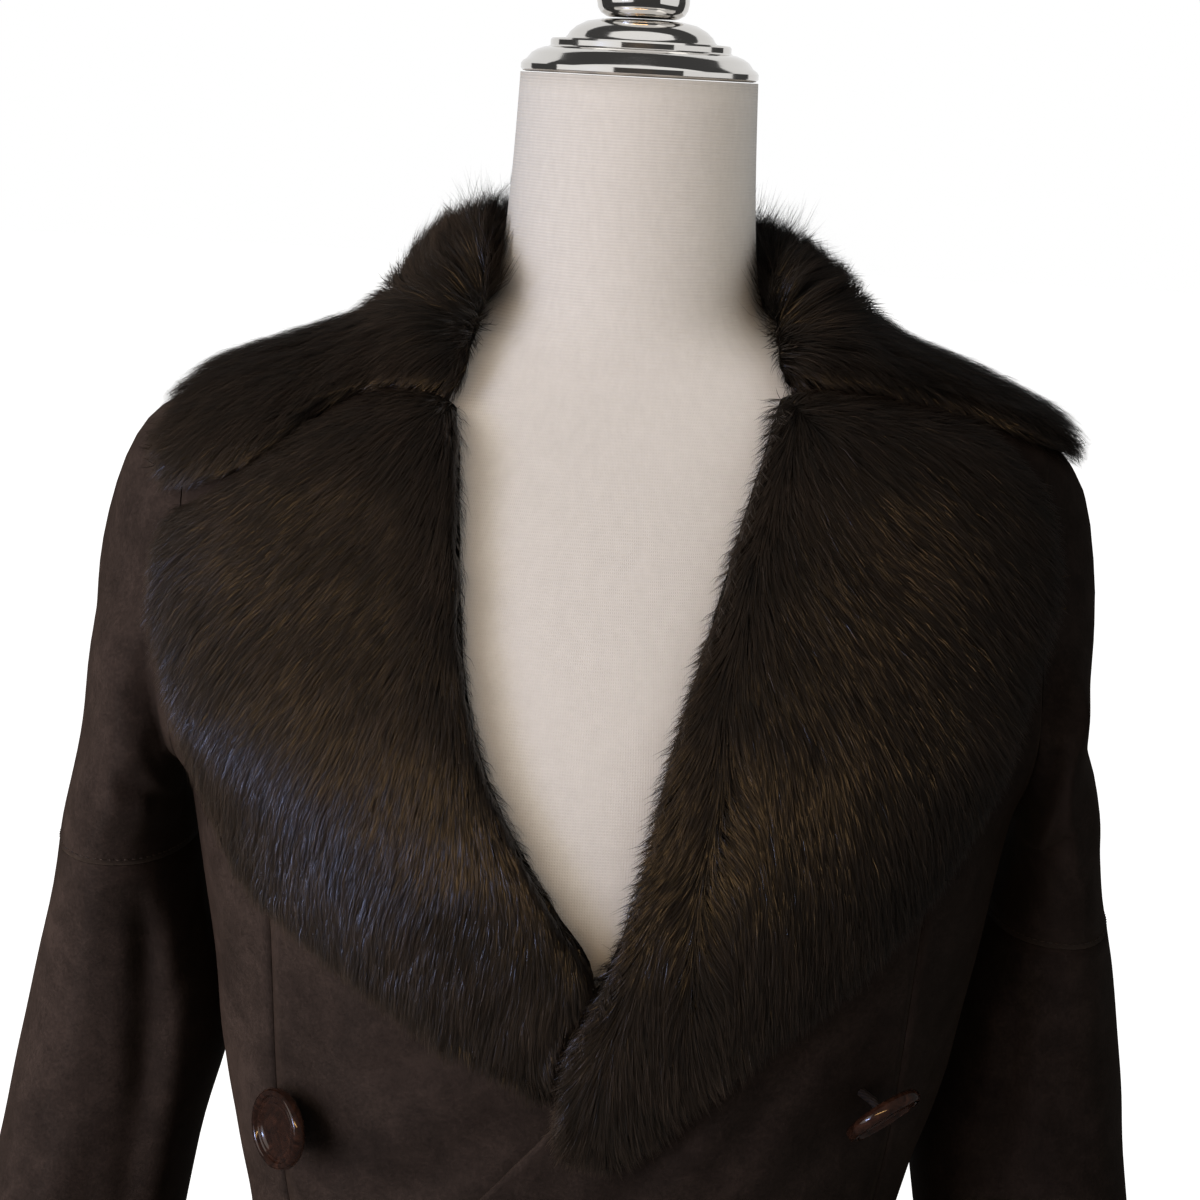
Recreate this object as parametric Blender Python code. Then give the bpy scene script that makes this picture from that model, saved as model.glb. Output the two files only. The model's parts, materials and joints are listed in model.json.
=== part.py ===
"""A fur-collared suede coat, worn by a limbless dress form on its stand.

Metres, +Z up. The coat faces -Y, so the wearer's left is +X. The origin is the centre of the
stand's foot, on the floor. Every surface of the coat is read from one stack of level sections,
and each piece is a closed wall, 0.3 mm or more from its neighbours at the seams.
"""

import math
from collections import namedtuple

import bmesh
import bpy
from mathutils import Vector

# ---------------------------------------------------------------- driving dimensions
WALL = 0.0025  # suede with its short clipped underside
SEAM_GAP = 0.0004  # between two cut pieces that are sewn together
LIE_GAP = 0.0011  # between a piece and what it lies on
ARMHOLE_X = 0.1868  # the body is cut off at this distance from the middle
SLEEVE_X = 0.1874  # and the sleeve starts here
ARMPIT_Z = 1.181
SLEEVE_SEAM_Z = {"right": 1.142, "left": 1.124}  # the skins of each sleeve are joined here
CUFF_Z = 0.735
HEM_Z = 0.580
WAIST_Z = 0.955
NECK_Z = 1.404  # height of the neck seam at the sides and the back
COLLAR_GAP = 0.0017  # between the collar and the coat under it
FUR_ON_LAPEL = 0.0105  # skin and fur together, lying flat
FUR_ON_COLLAR = 0.0105
OVERLAP_LIFT = 0.0034  # how far the wearer's left front lies proud of the right one
LIFT_RUN_IN = 0.006  # it is lifted in full this far before the under front's edge
LIFT_TOP_Z = 1.200  # and not at all above this height
LIFT_FADE = 0.060
ROLL_INSET = 0.006  # a front ends this far inside the lapel's rolled edge
FORM_TOP_Z = 1.4997
FORM_BOTTOM_Z = 0.780
CAP_Z = 1.500
NECK_CLEAR = 0.0600  # the collar's inner edge comes this near to the middle of the neck
NECK_PULL = 0.012  # and leans this far in towards it at most
FRONT_RISE = 0.0135  # how high the collar's front edges stand at the neck
STAND_RUN = 0.062  # the collar's stand dies away this far from the neck seam
LEAN_RUN = 0.050  # and its fur leans upwards this far
POLE_RADIUS = 0.0125
FOOT_RADIUS = 0.185
STACK_GAP = 0.0003  # between the turned pieces of the stand
THREAD_GAP = 0.0006  # between a button's thread and the curved cloth under it
FLAT_OF_CURVE = 0.0006  # the right front's facets lie this far inside the curve they follow

Section = namedtuple("Section", "z left right front back squareness")
LapelRow = namedtuple("LapelRow", "roll_x roll_z outer_x outer_z bow")
CollarRow = namedtuple("CollarRow", "neck_deg rim_deg rim_z rise")
SleeveRow = namedtuple("SleeveRow", "z inner_x outer_x centre_y half_depth groove")
Point2 = namedtuple("Point2", "z x")

# The coat's outer face, hem to neck. Above the armpit the sections take in the sleeve heads.
COAT_SECTIONS = [
    Section(HEM_Z, 0.208, 0.208, 0.158, 0.170, 2.20),
    Section(0.680, 0.193, 0.193, 0.148, 0.160, 2.20),
    Section(0.780, 0.177, 0.177, 0.134, 0.147, 2.20),
    Section(0.860, 0.1600, 0.1650, 0.121, 0.131, 2.25),
    Section(0.915, 0.1495, 0.1565, 0.112, 0.115, 2.30),
    Section(WAIST_Z, 0.1440, 0.1525, 0.110, 0.108, 2.30),
    Section(1.005, 0.1520, 0.1600, 0.114, 0.106, 2.35),
    Section(1.055, 0.1660, 0.1690, 0.122, 0.108, 2.40),
    Section(1.110, 0.1755, 0.1755, 0.132, 0.112, 2.40),
    Section(1.165, 0.1842, 0.1842, 0.139, 0.116, 2.40),
    Section(1.180, 0.1866, 0.1866, 0.1395, 0.117, 2.38),
    Section(1.190, 0.1895, 0.1915, 0.1388, 0.118, 2.35),
    Section(1.200, 0.1950, 0.2010, 0.1375, 0.119, 2.30),
    Section(1.215, 0.2065, 0.2180, 0.134, 0.1195, 2.25),
    Section(1.235, 0.2205, 0.2320, 0.1285, 0.120, 2.20),
    Section(1.255, 0.2208, 0.2327, 0.1215, 0.1195, 2.15),
    Section(1.280, 0.2172, 0.2300, 0.112, 0.1175, 2.10),
    Section(1.305, 0.2140, 0.2275, 0.1015, 0.1135, 2.10),
    Section(1.322, 0.2110, 0.2245, 0.094, 0.109, 2.10),
    Section(1.333, 0.2085, 0.2190, 0.089, 0.105, 2.10),
    Section(1.342, 0.2040, 0.2085, 0.085, 0.102, 2.08),
    Section(1.350, 0.1955, 0.1950, 0.081, 0.0985, 2.05),
    Section(1.358, 0.1825, 0.1770, 0.0765, 0.0945, 2.05),
    Section(1.368, 0.1610, 0.1500, 0.0715, 0.089, 2.00),
    Section(1.378, 0.1330, 0.1205, 0.0675, 0.0825, 2.00),
    Section(1.387, 0.1030, 0.0955, 0.065, 0.0765, 2.00),
    Section(1.394, 0.0845, 0.0815, 0.0635, 0.072, 2.00),
    Section(1.400, 0.0725, 0.0722, 0.0625, 0.068, 2.00),
    Section(1.406, 0.0645, 0.0645, 0.062, 0.065, 2.00),
]

# The wearer's right front lies under: its lapel runs from the closing up to the gorge.
LAPEL_RIGHT = [
    LapelRow(0.0135, 1.083, 0.0185, 1.0805, 0),
    LapelRow(0.0122, 1.098, 0.0400, 1.094, 0),
    LapelRow(0.0072, 1.116, 0.0660, 1.106, 0),
    LapelRow(-0.0015, 1.136, 0.0920, 1.123, 0),
    LapelRow(0.0135, 1.160, 0.1180, 1.140, 0),
    LapelRow(0.0300, 1.186, 0.1440, 1.157, 0),
    LapelRow(0.0430, 1.210, 0.1600, 1.178, 0),
    LapelRow(0.0530, 1.235, 0.1710, 1.202, 0),
    LapelRow(0.0590, 1.262, 0.1790, 1.228, 0),
    LapelRow(0.0620, 1.290, 0.1880, 1.252, 0.002),
    LapelRow(0.0640, 1.315, 0.1935, 1.272, 0.006),
    LapelRow(0.0660, 1.340, 0.1935, 1.292, 0.011),
    LapelRow(0.0690, 1.360, 0.1870, 1.308, 0.0155),
]

# The wearer's left front lies over, and its lapel is a little longer.
LAPEL_LEFT = [
    LapelRow(-0.0100, 1.055, 0.0130, 1.050, 0),
    LapelRow(-0.0112, 1.069, 0.0340, 1.073, 0),
    LapelRow(-0.0108, 1.085, 0.0560, 1.096, 0),
    LapelRow(-0.0085, 1.104, 0.0770, 1.113, 0),
    LapelRow(-0.0025, 1.121, 0.0985, 1.129, 0),
    LapelRow(0.0055, 1.139, 0.1195, 1.150, 0),
    LapelRow(0.0120, 1.160, 0.1390, 1.174, 0),
    LapelRow(0.0185, 1.184, 0.1550, 1.199, 0),
    LapelRow(0.0230, 1.210, 0.1655, 1.221, 0),
    LapelRow(0.0290, 1.238, 0.1715, 1.242, 0),
    LapelRow(0.0385, 1.272, 0.1790, 1.264, 0),
    LapelRow(0.0465, 1.302, 0.1850, 1.283, 0),
    LapelRow(0.0535, 1.328, 0.1870, 1.304, 0.003),
    LapelRow(0.0600, 1.350, 0.1800, 1.331, 0.005),
    LapelRow(0.0665, 1.3705, 0.1480, 1.3610, 0.002),
]

# The collar's front edges: along the gorge, then free to the point beyond the notch.
COLLAR_FRONT_RIGHT = [
    Point2(1.3637, 0.0695), Point2(1.3643, 0.0935), Point2(1.3590, 0.1168),
    Point2(1.3466, 0.1328), Point2(1.3341, 0.1491), Point2(1.3248, 0.1640),
    Point2(1.3200, 0.1790), Point2(1.3180, 0.1910),
]
COLLAR_FRONT_LEFT = [
    Point2(1.3735, 0.0670), Point2(1.3725, 0.0900), Point2(1.3700, 0.1150),
    Point2(1.3645, 0.1400), Point2(1.3590, 0.1600), Point2(1.3510, 0.1800),
    Point2(1.3452, 0.1975),
]

# The collar between its two front edges: azimuth from the front, at the neck and at the rim.
COLLAR_ROWS_RIGHT = [
    CollarRow(52, 82.0, 1.3460, 0.018),
    CollarRow(66, 91.0, 1.3540, 0.027),
    CollarRow(88, 99.0, 1.3500, 0.033),
    CollarRow(112, 110.0, 1.3220, 0.037),
    CollarRow(136, 134.0, 1.2880, 0.038),
    CollarRow(160, 158.0, 1.2720, 0.038),
    CollarRow(180, 180.0, 1.2680, 0.038),
]
COLLAR_ROWS_LEFT = [
    CollarRow(54, 95.0, 1.3450, 0.019),
    CollarRow(67, 99.0, 1.3420, 0.025),
    CollarRow(89, 104.0, 1.3350, 0.030),
    CollarRow(112, 113.0, 1.3180, 0.034),
    CollarRow(136, 134.0, 1.2880, 0.038),
    CollarRow(160, 158.0, 1.2720, 0.038),
    CollarRow(180, 180.0, 1.2680, 0.038),
]
NECKLINE = [(1.354, 41), (1.362, 43.5), (1.375, 46.5), (1.387, 50.5), (1.396, 56), (1.402, 63),
            (NECK_Z, 72)]

# Where the fronts end towards the middle. x is across the body from the front's own side.
LEADING_EDGE = [
    Point2(HEM_Z, -0.135),
    Point2(0.850, -0.129),
    Point2(0.910, -0.126),
    Point2(0.935, -0.118),
    Point2(0.960, -0.100),
    Point2(0.990, -0.074),
    Point2(1.0247, -0.0427),
    Point2(1.0500, -0.0230),
    Point2(1.0643, -0.0130),
    Point2(1.0750, -0.0060),
]
UNDER_EDGE = [
    Point2(HEM_Z, -0.105),
    Point2(0.980, -0.095),
    Point2(1.040, -0.075),
    Point2(1.080, -0.045),
    Point2(1.105, -0.018),
    Point2(1.130, 0.004),
]
PRINCESS_SEAM = [
    Point2(HEM_Z, 0.168),
    Point2(0.700, 0.152),
    Point2(0.800, 0.139),
    Point2(0.880, 0.126),
    Point2(WAIST_Z, 0.120),
    Point2(1.010, 0.131),
    Point2(1.060, 0.1355),
    Point2(1.147, 0.139),
    Point2(1.190, 0.143),
    Point2(1.220, 0.152),
    Point2(1.250, 0.169),
    Point2(1.270, 0.1846),
]

SLEEVE_RIGHT = [
    SleeveRow(1.156, 0.1882, 0.2473, 0.013, 0.064, 0.000),
    SleeveRow(1.140, 0.1872, 0.2507, 0.018, 0.062, 0.000),
    SleeveRow(1.105, 0.1815, 0.2579, 0.028, 0.060, 0.004),
    SleeveRow(1.050, 0.1725, 0.2702, 0.036, 0.058, 0.007),
    SleeveRow(1.000, 0.1825, 0.2798, 0.036, 0.057, 0.007),
    SleeveRow(0.945, 0.1935, 0.2890, 0.032, 0.057, 0.006),
    SleeveRow(0.870, 0.2010, 0.2965, 0.022, 0.058, 0.005),
    SleeveRow(0.800, 0.2055, 0.3020, 0.012, 0.060, 0.004),
    SleeveRow(CUFF_Z, 0.2085, 0.3060, 0.002, 0.061, 0.003),
]
SLEEVE_LEFT = [
    SleeveRow(1.156, 0.1882, 0.2322, 0.013, 0.064, 0.000),
    SleeveRow(1.140, 0.1870, 0.2362, 0.018, 0.062, 0.000),
    SleeveRow(1.105, 0.1795, 0.2456, 0.028, 0.060, 0.003),
    SleeveRow(1.050, 0.1700, 0.2572, 0.038, 0.058, 0.005),
    SleeveRow(1.000, 0.1610, 0.2644, 0.040, 0.057, 0.006),
    SleeveRow(0.945, 0.1690, 0.2724, 0.036, 0.057, 0.005),
    SleeveRow(0.870, 0.1850, 0.2810, 0.026, 0.058, 0.004),
    SleeveRow(0.800, 0.1945, 0.2890, 0.014, 0.060, 0.004),
    SleeveRow(CUFF_Z, 0.2000, 0.2950, 0.004, 0.061, 0.003),
]

# Turned pieces, as radius and height from their own foot.
FOOT_PROFILE = [(FOOT_RADIUS - 0.002, 0), (FOOT_RADIUS, 0.002), (FOOT_RADIUS, 0.008),
                (FOOT_RADIUS - 0.007, 0.012), (0.030, 0.020), (0.021, 0.026)]
CAP_PROFILE = [(0.0505, 0), (0.0520, 0.0012), (0.0520, 0.0040), (0.0495, 0.0078), (0.0440, 0.0105),
               (0.0395, 0.0114), (0.0395, 0.0148), (0.0325, 0.0156), (0.0300, 0.0192),
               (0.0235, 0.0232), (0.0110, 0.0245)]
KNOB_PROFILE = [(0.0150, 0), (0.0188, 0.0022), (0.0202, 0.0065), (0.0202, 0.0120),
                (0.0182, 0.0195), (0.0120, 0.0258), (0.0030, 0.0285)]
BUTTON_PROFILE = [(0.0150, 0), (0.0176, 0.0014), (0.0180, 0.0040), (0.0169, 0.0060),
                  (0.0150, 0.0065), (0.0128, 0.0052)]


# ---------------------------------------------------------------- reading the tables
def tangents(xs, ys):
    """Slopes of a smooth curve through the points that never overshoots them."""
    steps = [(ys[i + 1] - ys[i]) / (xs[i + 1] - xs[i]) for i in range(len(xs) - 1)]
    inner = []
    for before, after in zip(steps, steps[1:]):
        inner.append(2 * before * after / (before + after) if before * after > 0 else 0.0)
    return [steps[0], *inner, steps[-1]]


def smooth_curve(xs, ys):
    """A function that reads a smooth curve through the points, held at its ends."""
    slopes = tangents(xs, ys)

    def at(x):
        x = min(max(x, xs[0]), xs[-1])
        i = max(k for k in range(len(xs) - 1) if xs[k] <= x or k == 0)
        span = xs[i + 1] - xs[i]
        t = (x - xs[i]) / span
        return (
            ys[i] * (1 + 2 * t) * (1 - t) ** 2
            + slopes[i] * span * t * (1 - t) ** 2
            + ys[i + 1] * t * t * (3 - 2 * t)
            - slopes[i + 1] * span * t * t * (1 - t)
        )

    return at


def column(rows, name, by="z"):
    """One column of a table as a smooth function of another."""
    return smooth_curve([getattr(r, by) for r in rows], [getattr(r, name) for r in rows])


def ease(t):
    t = min(max(t, 0.0), 1.0)
    return t * t * (3 - 2 * t)


def blend(a, b, t):
    return a + (b - a) * t


class Stack:
    """Level superellipse sections, read as a smooth surface by azimuth and height.

    Azimuth 0 is the front (-Y), a quarter turn is the wearer's left (+X). A section's left and
    right are how far it reaches on the wearer's left and right.
    """

    def __init__(self, rows, waves=None):
        self.left = column(rows, "left")
        self.right = column(rows, "right")
        self.front = column(rows, "front")
        self.back = column(rows, "back")
        self.squareness = column(rows, "squareness")
        self.waves = waves or (lambda azimuth, z: 0.0)

    def reach(self, z, side):
        return self.left(z) if side > 0 else self.right(z)

    def radius(self, azimuth, z):
        across = abs(math.sin(azimuth)) / self.reach(z, math.sin(azimuth))
        depth = self.front(z) if math.cos(azimuth) > 0 else self.back(z)
        along = abs(math.cos(azimuth)) / depth
        power = self.squareness(z)
        return (across**power + along**power) ** (-1 / power) + self.waves(azimuth, z)

    def point(self, azimuth, z):
        r = self.radius(azimuth, z)
        return Vector((r * math.sin(azimuth), -r * math.cos(azimuth), z))

    def normal(self, azimuth, z):
        turn, rise = 0.004, 0.0008
        around = self.point(azimuth + turn, z) - self.point(azimuth - turn, z)
        up = self.point(azimuth, z + rise) - self.point(azimuth, z - rise)
        return around.cross(up).normalized()

    def azimuth_at(self, x, z, back=False):
        """The azimuth where the section at z is x from the middle, on its front or its back."""
        low, high = 0.0, math.pi / 2
        for _ in range(40):
            middle = (low + high) / 2
            found = math.copysign(math.pi - middle if back else middle, x)
            low, high = (middle, high) if abs(self.point(found, z).x) < abs(x) else (low, middle)
        return math.copysign(math.pi - low if back else low, x)

    def holds(self, p):
        """True where the point lies inside the surface."""
        azimuth = math.atan2(p.x, -p.y)
        return math.hypot(p.x, p.y) < self.radius(azimuth, p.z)


def skirt_waves(azimuth, z):
    """Soft flutes at the sides and back that open from the waist to the hem."""
    away = abs(math.remainder(azimuth, 2 * math.pi))
    share = max(0.0, (WAIST_Z - z) / (WAIST_Z - HEM_Z)) ** 1.5 * ease((away - 0.75) / 0.5)
    return share * (0.0065 * math.cos(7 * azimuth + 0.5) + 0.0030 * math.cos(12 * azimuth + 2.0))


COAT = Stack(COAT_SECTIONS, skirt_waves)
princess_x = column(PRINCESS_SEAM, "x")
leading_x = column(LEADING_EDGE, "x")
under_x = column(UNDER_EDGE, "x")
neckline_azimuth = smooth_curve([z for z, _ in NECKLINE], [math.radians(d) for _, d in NECKLINE])
neckline_z = smooth_curve([math.radians(d) for _, d in NECKLINE], [z for z, _ in NECKLINE])


def overlap_lift(x, z):
    """How far the over front, on the wearer's left, stands off the under one."""
    full = abs(under_x(z)) + LIFT_RUN_IN
    seam = princess_x(z) - SEAM_GAP
    return OVERLAP_LIFT * ease((seam - x) / (seam - full)) * ease((LIFT_TOP_Z - z) / LIFT_FADE)


# ---------------------------------------------------------------- making solids
def material(name, colour, roughness, metallic=0.0):
    made = bpy.data.materials.new(name)
    made.use_nodes = True
    shader = made.node_tree.nodes["Principled BSDF"]
    shader.inputs["Base Color"].default_value = (*colour, 1)
    shader.inputs["Roughness"].default_value = roughness
    shader.inputs["Metallic"].default_value = metallic
    made.diffuse_color = (*colour, 1)
    return made


def add_object(name, mesh, made_of):
    mesh.materials.append(made_of)
    obj = bpy.data.objects.new(name, mesh)
    bpy.context.scene.collection.objects.link(obj)
    mesh.shade_smooth()
    mesh.set_sharp_from_angle(angle=math.radians(45))
    return obj


def shell(name, outer, inner, made_of, closed=False):
    """A closed wall between two grids of points of the same size.

    closed joins each row's end to its start, which makes a tube.
    """
    mesh = bpy.data.meshes.new(name)
    bm = bmesh.new()
    top = [[bm.verts.new(p) for p in row] for row in outer]
    under = [[bm.verts.new(p) for p in row] for row in inner]
    rows, columns = len(top), len(top[0])
    steps = columns if closed else columns - 1
    for i in range(rows - 1):
        for j in range(steps):
            k = (j + 1) % columns
            bm.faces.new((top[i][j], top[i][k], top[i + 1][k], top[i + 1][j]))
            bm.faces.new((under[i][j], under[i + 1][j], under[i + 1][k], under[i][k]))
    for j in range(steps):
        k = (j + 1) % columns
        bm.faces.new((top[0][j], under[0][j], under[0][k], top[0][k]))
        bm.faces.new((top[-1][j], top[-1][k], under[-1][k], under[-1][j]))
    if not closed:
        for i in range(rows - 1):
            bm.faces.new((top[i][0], top[i + 1][0], under[i + 1][0], under[i][0]))
            bm.faces.new((top[i][-1], under[i][-1], under[i + 1][-1], top[i + 1][-1]))
    bmesh.ops.recalc_face_normals(bm, faces=bm.faces)
    bmesh.ops.triangulate(bm, faces=bm.faces)
    bm.to_mesh(mesh)
    bm.free()
    return add_object(name, mesh, made_of)


def turned(name, profile, made_of, segments=32):
    """A solid of revolution about its own Z, with flat ends."""
    mesh = bpy.data.meshes.new(name)
    bm = bmesh.new()
    rings = []
    for radius, z in profile:
        ring = []
        for k in range(segments):
            a = 2 * math.pi * k / segments
            ring.append(bm.verts.new((radius * math.cos(a), radius * math.sin(a), z)))
        rings.append(ring)
    for low, high in zip(rings, rings[1:]):
        for k in range(segments):
            n = (k + 1) % segments
            bm.faces.new((low[k], low[n], high[n], high[k]))
    bm.faces.new(rings[0][::-1])
    bm.faces.new(rings[-1])
    bmesh.ops.recalc_face_normals(bm, faces=bm.faces)
    bm.to_mesh(mesh)
    bm.free()
    return add_object(name, mesh, made_of)


# ---------------------------------------------------------------- the body of the coat
def body_panel(name, heights, limits, columns, made_of, lift=lambda x, z: 0.0):
    """A piece of the coat's body. limits gives the two azimuths that it spans at a height."""
    outer, inner = [], []
    for z in heights:
        first, last = limits(z)
        face, lining = [], []
        for j in range(columns + 1):
            azimuth = blend(first, last, j / columns)
            p, n = COAT.point(azimuth, z), COAT.normal(azimuth, z)
            raised = lift(p.x, z)
            face.append(p + n * raised)
            lining.append(p + n * (raised - WALL))
        outer.append(face)
        inner.append(lining)
    return shell(name, outer, inner, made_of)


def outer_limit(z, side, back):
    """Azimuth where a front or the back ends: side seam, armhole or shoulder seam."""
    reach = COAT.reach(z, side)
    seam = math.pi / 2 + math.copysign(SEAM_GAP / 2 / reach, 1 if back else -1)
    if z <= ARMPIT_Z or reach <= ARMHOLE_X:
        return side * seam
    cut = abs(COAT.azimuth_at(side * ARMHOLE_X, z, back))
    return side * (max(cut, seam) if back else min(cut, seam))


def front_inner_azimuth(z, side, lapel, edge):
    """Azimuth of the front's edge towards the middle: closing edge, roll line or neckline."""
    roll_bottom = edge[-1].z
    gorge_z = lapel[-1].roll_z
    edge_x = column(edge, "x")
    roll = smooth_curve([r.roll_z for r in lapel], [r.roll_x for r in lapel])
    if z <= roll_bottom:
        x = edge_x(z)
    elif z <= gorge_z:
        x = max(roll(z) + ROLL_INSET, edge_x(roll_bottom))
    else:
        return side * (neckline_azimuth(z) + math.radians(4))
    return COAT.azimuth_at(side * x, z)


def front_outer_azimuth(z, side):
    """The princess seam, and above its end the armhole and the shoulder seam."""
    seam_top = PRINCESS_SEAM[-1].z
    if z <= seam_top:
        return COAT.azimuth_at(side * (princess_x(z) - SEAM_GAP / 2), z)
    return outer_limit(z, side, back=False)


SKIRT_HEIGHTS = [HEM_Z, 0.68, 0.78, 0.86, 0.915, 0.95, 0.975, 1.0, 1.022]
CHEST_HEIGHTS = [1.045, 1.075, 1.105, 1.135, 1.16, 1.181, 1.193, 1.212, 1.232, 1.252, 1.27]
SHOULDER_HEIGHTS = [1.29, 1.31, 1.326, 1.338, 1.348, 1.358, 1.369, 1.382]


def make_fronts(suede):
    """The two fronts, from the closing edge to the princess seam and up to the shoulder."""
    heights = SKIRT_HEIGHTS + CHEST_HEIGHTS + SHOULDER_HEIGHTS + [1.394]
    body_panel(
        "front_left", heights,
        lambda z: (front_inner_azimuth(z, 1, LAPEL_LEFT, LEADING_EDGE), front_outer_azimuth(z, 1)),
        13, suede, overlap_lift)
    body_panel(
        "front_right", heights,
        lambda z: (front_inner_azimuth(z, -1, LAPEL_RIGHT, UNDER_EDGE), front_outer_azimuth(z, -1)),
        10, suede)


def make_sides(suede):
    """The side fronts, from the princess seam to the side seam and the armhole."""
    heights = SKIRT_HEIGHTS + CHEST_HEIGHTS
    for name, side in (("side_left", 1), ("side_right", -1)):
        body_panel(
            name, heights,
            lambda z, side=side: (
                COAT.azimuth_at(side * (princess_x(z) + SEAM_GAP / 2), z),
                outer_limit(z, side, back=False)),
            4, suede)


def make_back(suede):
    """The back in one piece, from side seam to side seam and up to the neck."""
    heights = SKIRT_HEIGHTS + CHEST_HEIGHTS + SHOULDER_HEIGHTS + [1.394, 1.4015]

    def limits(z):
        return outer_limit(z, 1, True), 2 * math.pi + outer_limit(z, -1, True)

    body_panel("back", heights, limits, 16, suede)


# ---------------------------------------------------------------- sleeves
SLEEVE_STEPS = 24
HEAD_BLEND_Z = 1.240  # the sleeve's head turns from its own oval into the coat's surface here
HEAD_BLEND_RUN = 0.025
LEVEL_SQUARENESS = 0.9  # less than 1 makes a level ring fuller at its corners
FRONT_FOLD = (math.radians(105), 0.30, 1.0)  # turn, width and share of the row's groove
BACK_FOLD = (math.radians(250), 0.40, 0.7)
HEAD_RINGS = (  # tilt, where the ring's low point lies, and half depth
    (0, 0.1874, 1.1810, 0.0720),
    (8, 0.1884, 1.1780, 0.0718),
    (17, 0.1892, 1.1750, 0.0712),
    (27, 0.1896, 1.1720, 0.0695),
)
UNDERARM_RINGS = (  # tilt, low point, length, half depth
    (45, 0.1899, 1.1680, {"right": 0.0657, "left": 0.0485}, 0.067),
    (69, 0.1894, 1.1625, {"right": 0.0557, "left": 0.0420}, 0.066),
)


def rounded(turn, half_length, half_depth, power):
    """How far an oval reaches from its centre. More power makes it fuller at the corners."""
    along = abs(math.cos(turn)) / half_length
    across = abs(math.sin(turn)) / half_depth
    return (along**power + across**power) ** (-1 / power)


def in_coat(p, side):
    """True where a point of a sleeve, as given on the wearer's left, lies in the coat's shape."""
    return COAT.holds(Vector((side * p.x, p.y, p.z)))


def head_ring(side, tilt, low_x, low_z, half_depth):
    """The armhole and the first rings out from it, whose upper part is the coat's own surface."""
    a = math.radians(tilt)
    low = Vector((low_x, 0, low_z))
    out = Vector((math.sin(a), 0, math.cos(a)))
    reach = 0.06
    while in_coat(low + out * reach, side):
        reach += 0.0005
    half = reach / 2
    centre = low + out * half
    ring = []
    for k in range(SLEEVE_STEPS):
        turn = 2 * math.pi * k / SLEEVE_STEPS
        way = out * math.cos(turn) - Vector((0, math.sin(turn), 0))
        near, far = 0.0, 0.12
        for _ in range(40):
            middle = (near + far) / 2
            near, far = (middle, far) if in_coat(centre + way * middle, side) else (near, middle)
        oval = rounded(turn, half, half_depth, 2.0 if math.cos(turn) > 0 else 2.5)
        on_coat = ease((centre.z + way.z * oval - HEAD_BLEND_Z) / HEAD_BLEND_RUN)
        length = near if tilt == 0 else blend(oval, min(near, oval), on_coat)
        p = centre + way * (length - 0.0004)
        ring.append(Vector((max(p.x, SLEEVE_X), p.y, p.z)))
    return ring


def underarm_ring(tilt, low_x, low_z, length, half_depth):
    """A ring that turns about the armpit, from the sleeve's head to its level part."""
    a = math.radians(tilt)
    out = Vector((math.sin(a), 0, math.cos(a)))
    centre = Vector((low_x, 0.006 * math.sin(a), low_z)) + out * length / 2
    ring = []
    for k in range(SLEEVE_STEPS):
        turn = 2 * math.pi * k / SLEEVE_STEPS
        power = 2.0 if math.cos(turn) > 0 else 2.35
        way = out * math.cos(turn) - Vector((0, math.sin(turn), 0))
        ring.append(centre + way * rounded(turn, length / 2, half_depth, power))
    return ring


def level_ring(row):
    """A level ring of the sleeve, with the soft groove down its front where it lies folded."""
    half = (row.outer_x - row.inner_x) / 2
    ring = []
    for k in range(SLEEVE_STEPS):
        turn = 2 * math.pi * k / SLEEVE_STEPS
        c, s = math.cos(turn), math.sin(turn)
        pull = 1.0
        for at, width, share in (FRONT_FOLD, BACK_FOLD):
            pull -= share * math.exp(-(((turn - at) / width) ** 2)) * row.groove / row.half_depth
        wide = math.copysign(abs(c) ** LEVEL_SQUARENESS, c)
        deep = math.copysign(abs(s) ** LEVEL_SQUARENESS, s)
        x = (row.inner_x + row.outer_x) / 2 + half * wide
        y = row.centre_y - row.half_depth * deep * pull
        ring.append(Vector((x, y, row.z)))
    return ring


def tube(name, rings, side, made_of, first_is_armhole=False):
    """A hollow tube through the rings, mirrored to the wearer's right where side is -1."""
    rows = []
    for i, ring in enumerate(rings):
        before, after = rings[max(i - 1, 0)], rings[min(i + 1, len(rings) - 1)]
        centre = sum(ring, Vector()) / len(ring)
        row = []
        for j, p in enumerate(ring):
            around = ring[(j + 1) % len(ring)] - ring[j - 1]
            along = after[j] - before[j]
            n = around.cross(along).normalized()
            if n.dot(p - centre) < 0:
                n.negate()
            q = p - n * WALL
            if first_is_armhole and i == 0:
                q.x = max(q.x, SLEEVE_X)
            row.append(q)
        rows.append(row)
    turned_over = [[Vector((side * p.x, p.y, p.z)) for p in ring] for ring in rings]
    lining = [[Vector((side * p.x, p.y, p.z)) for p in ring] for ring in rows]
    return shell(name, turned_over, lining, made_of, closed=True)


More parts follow.
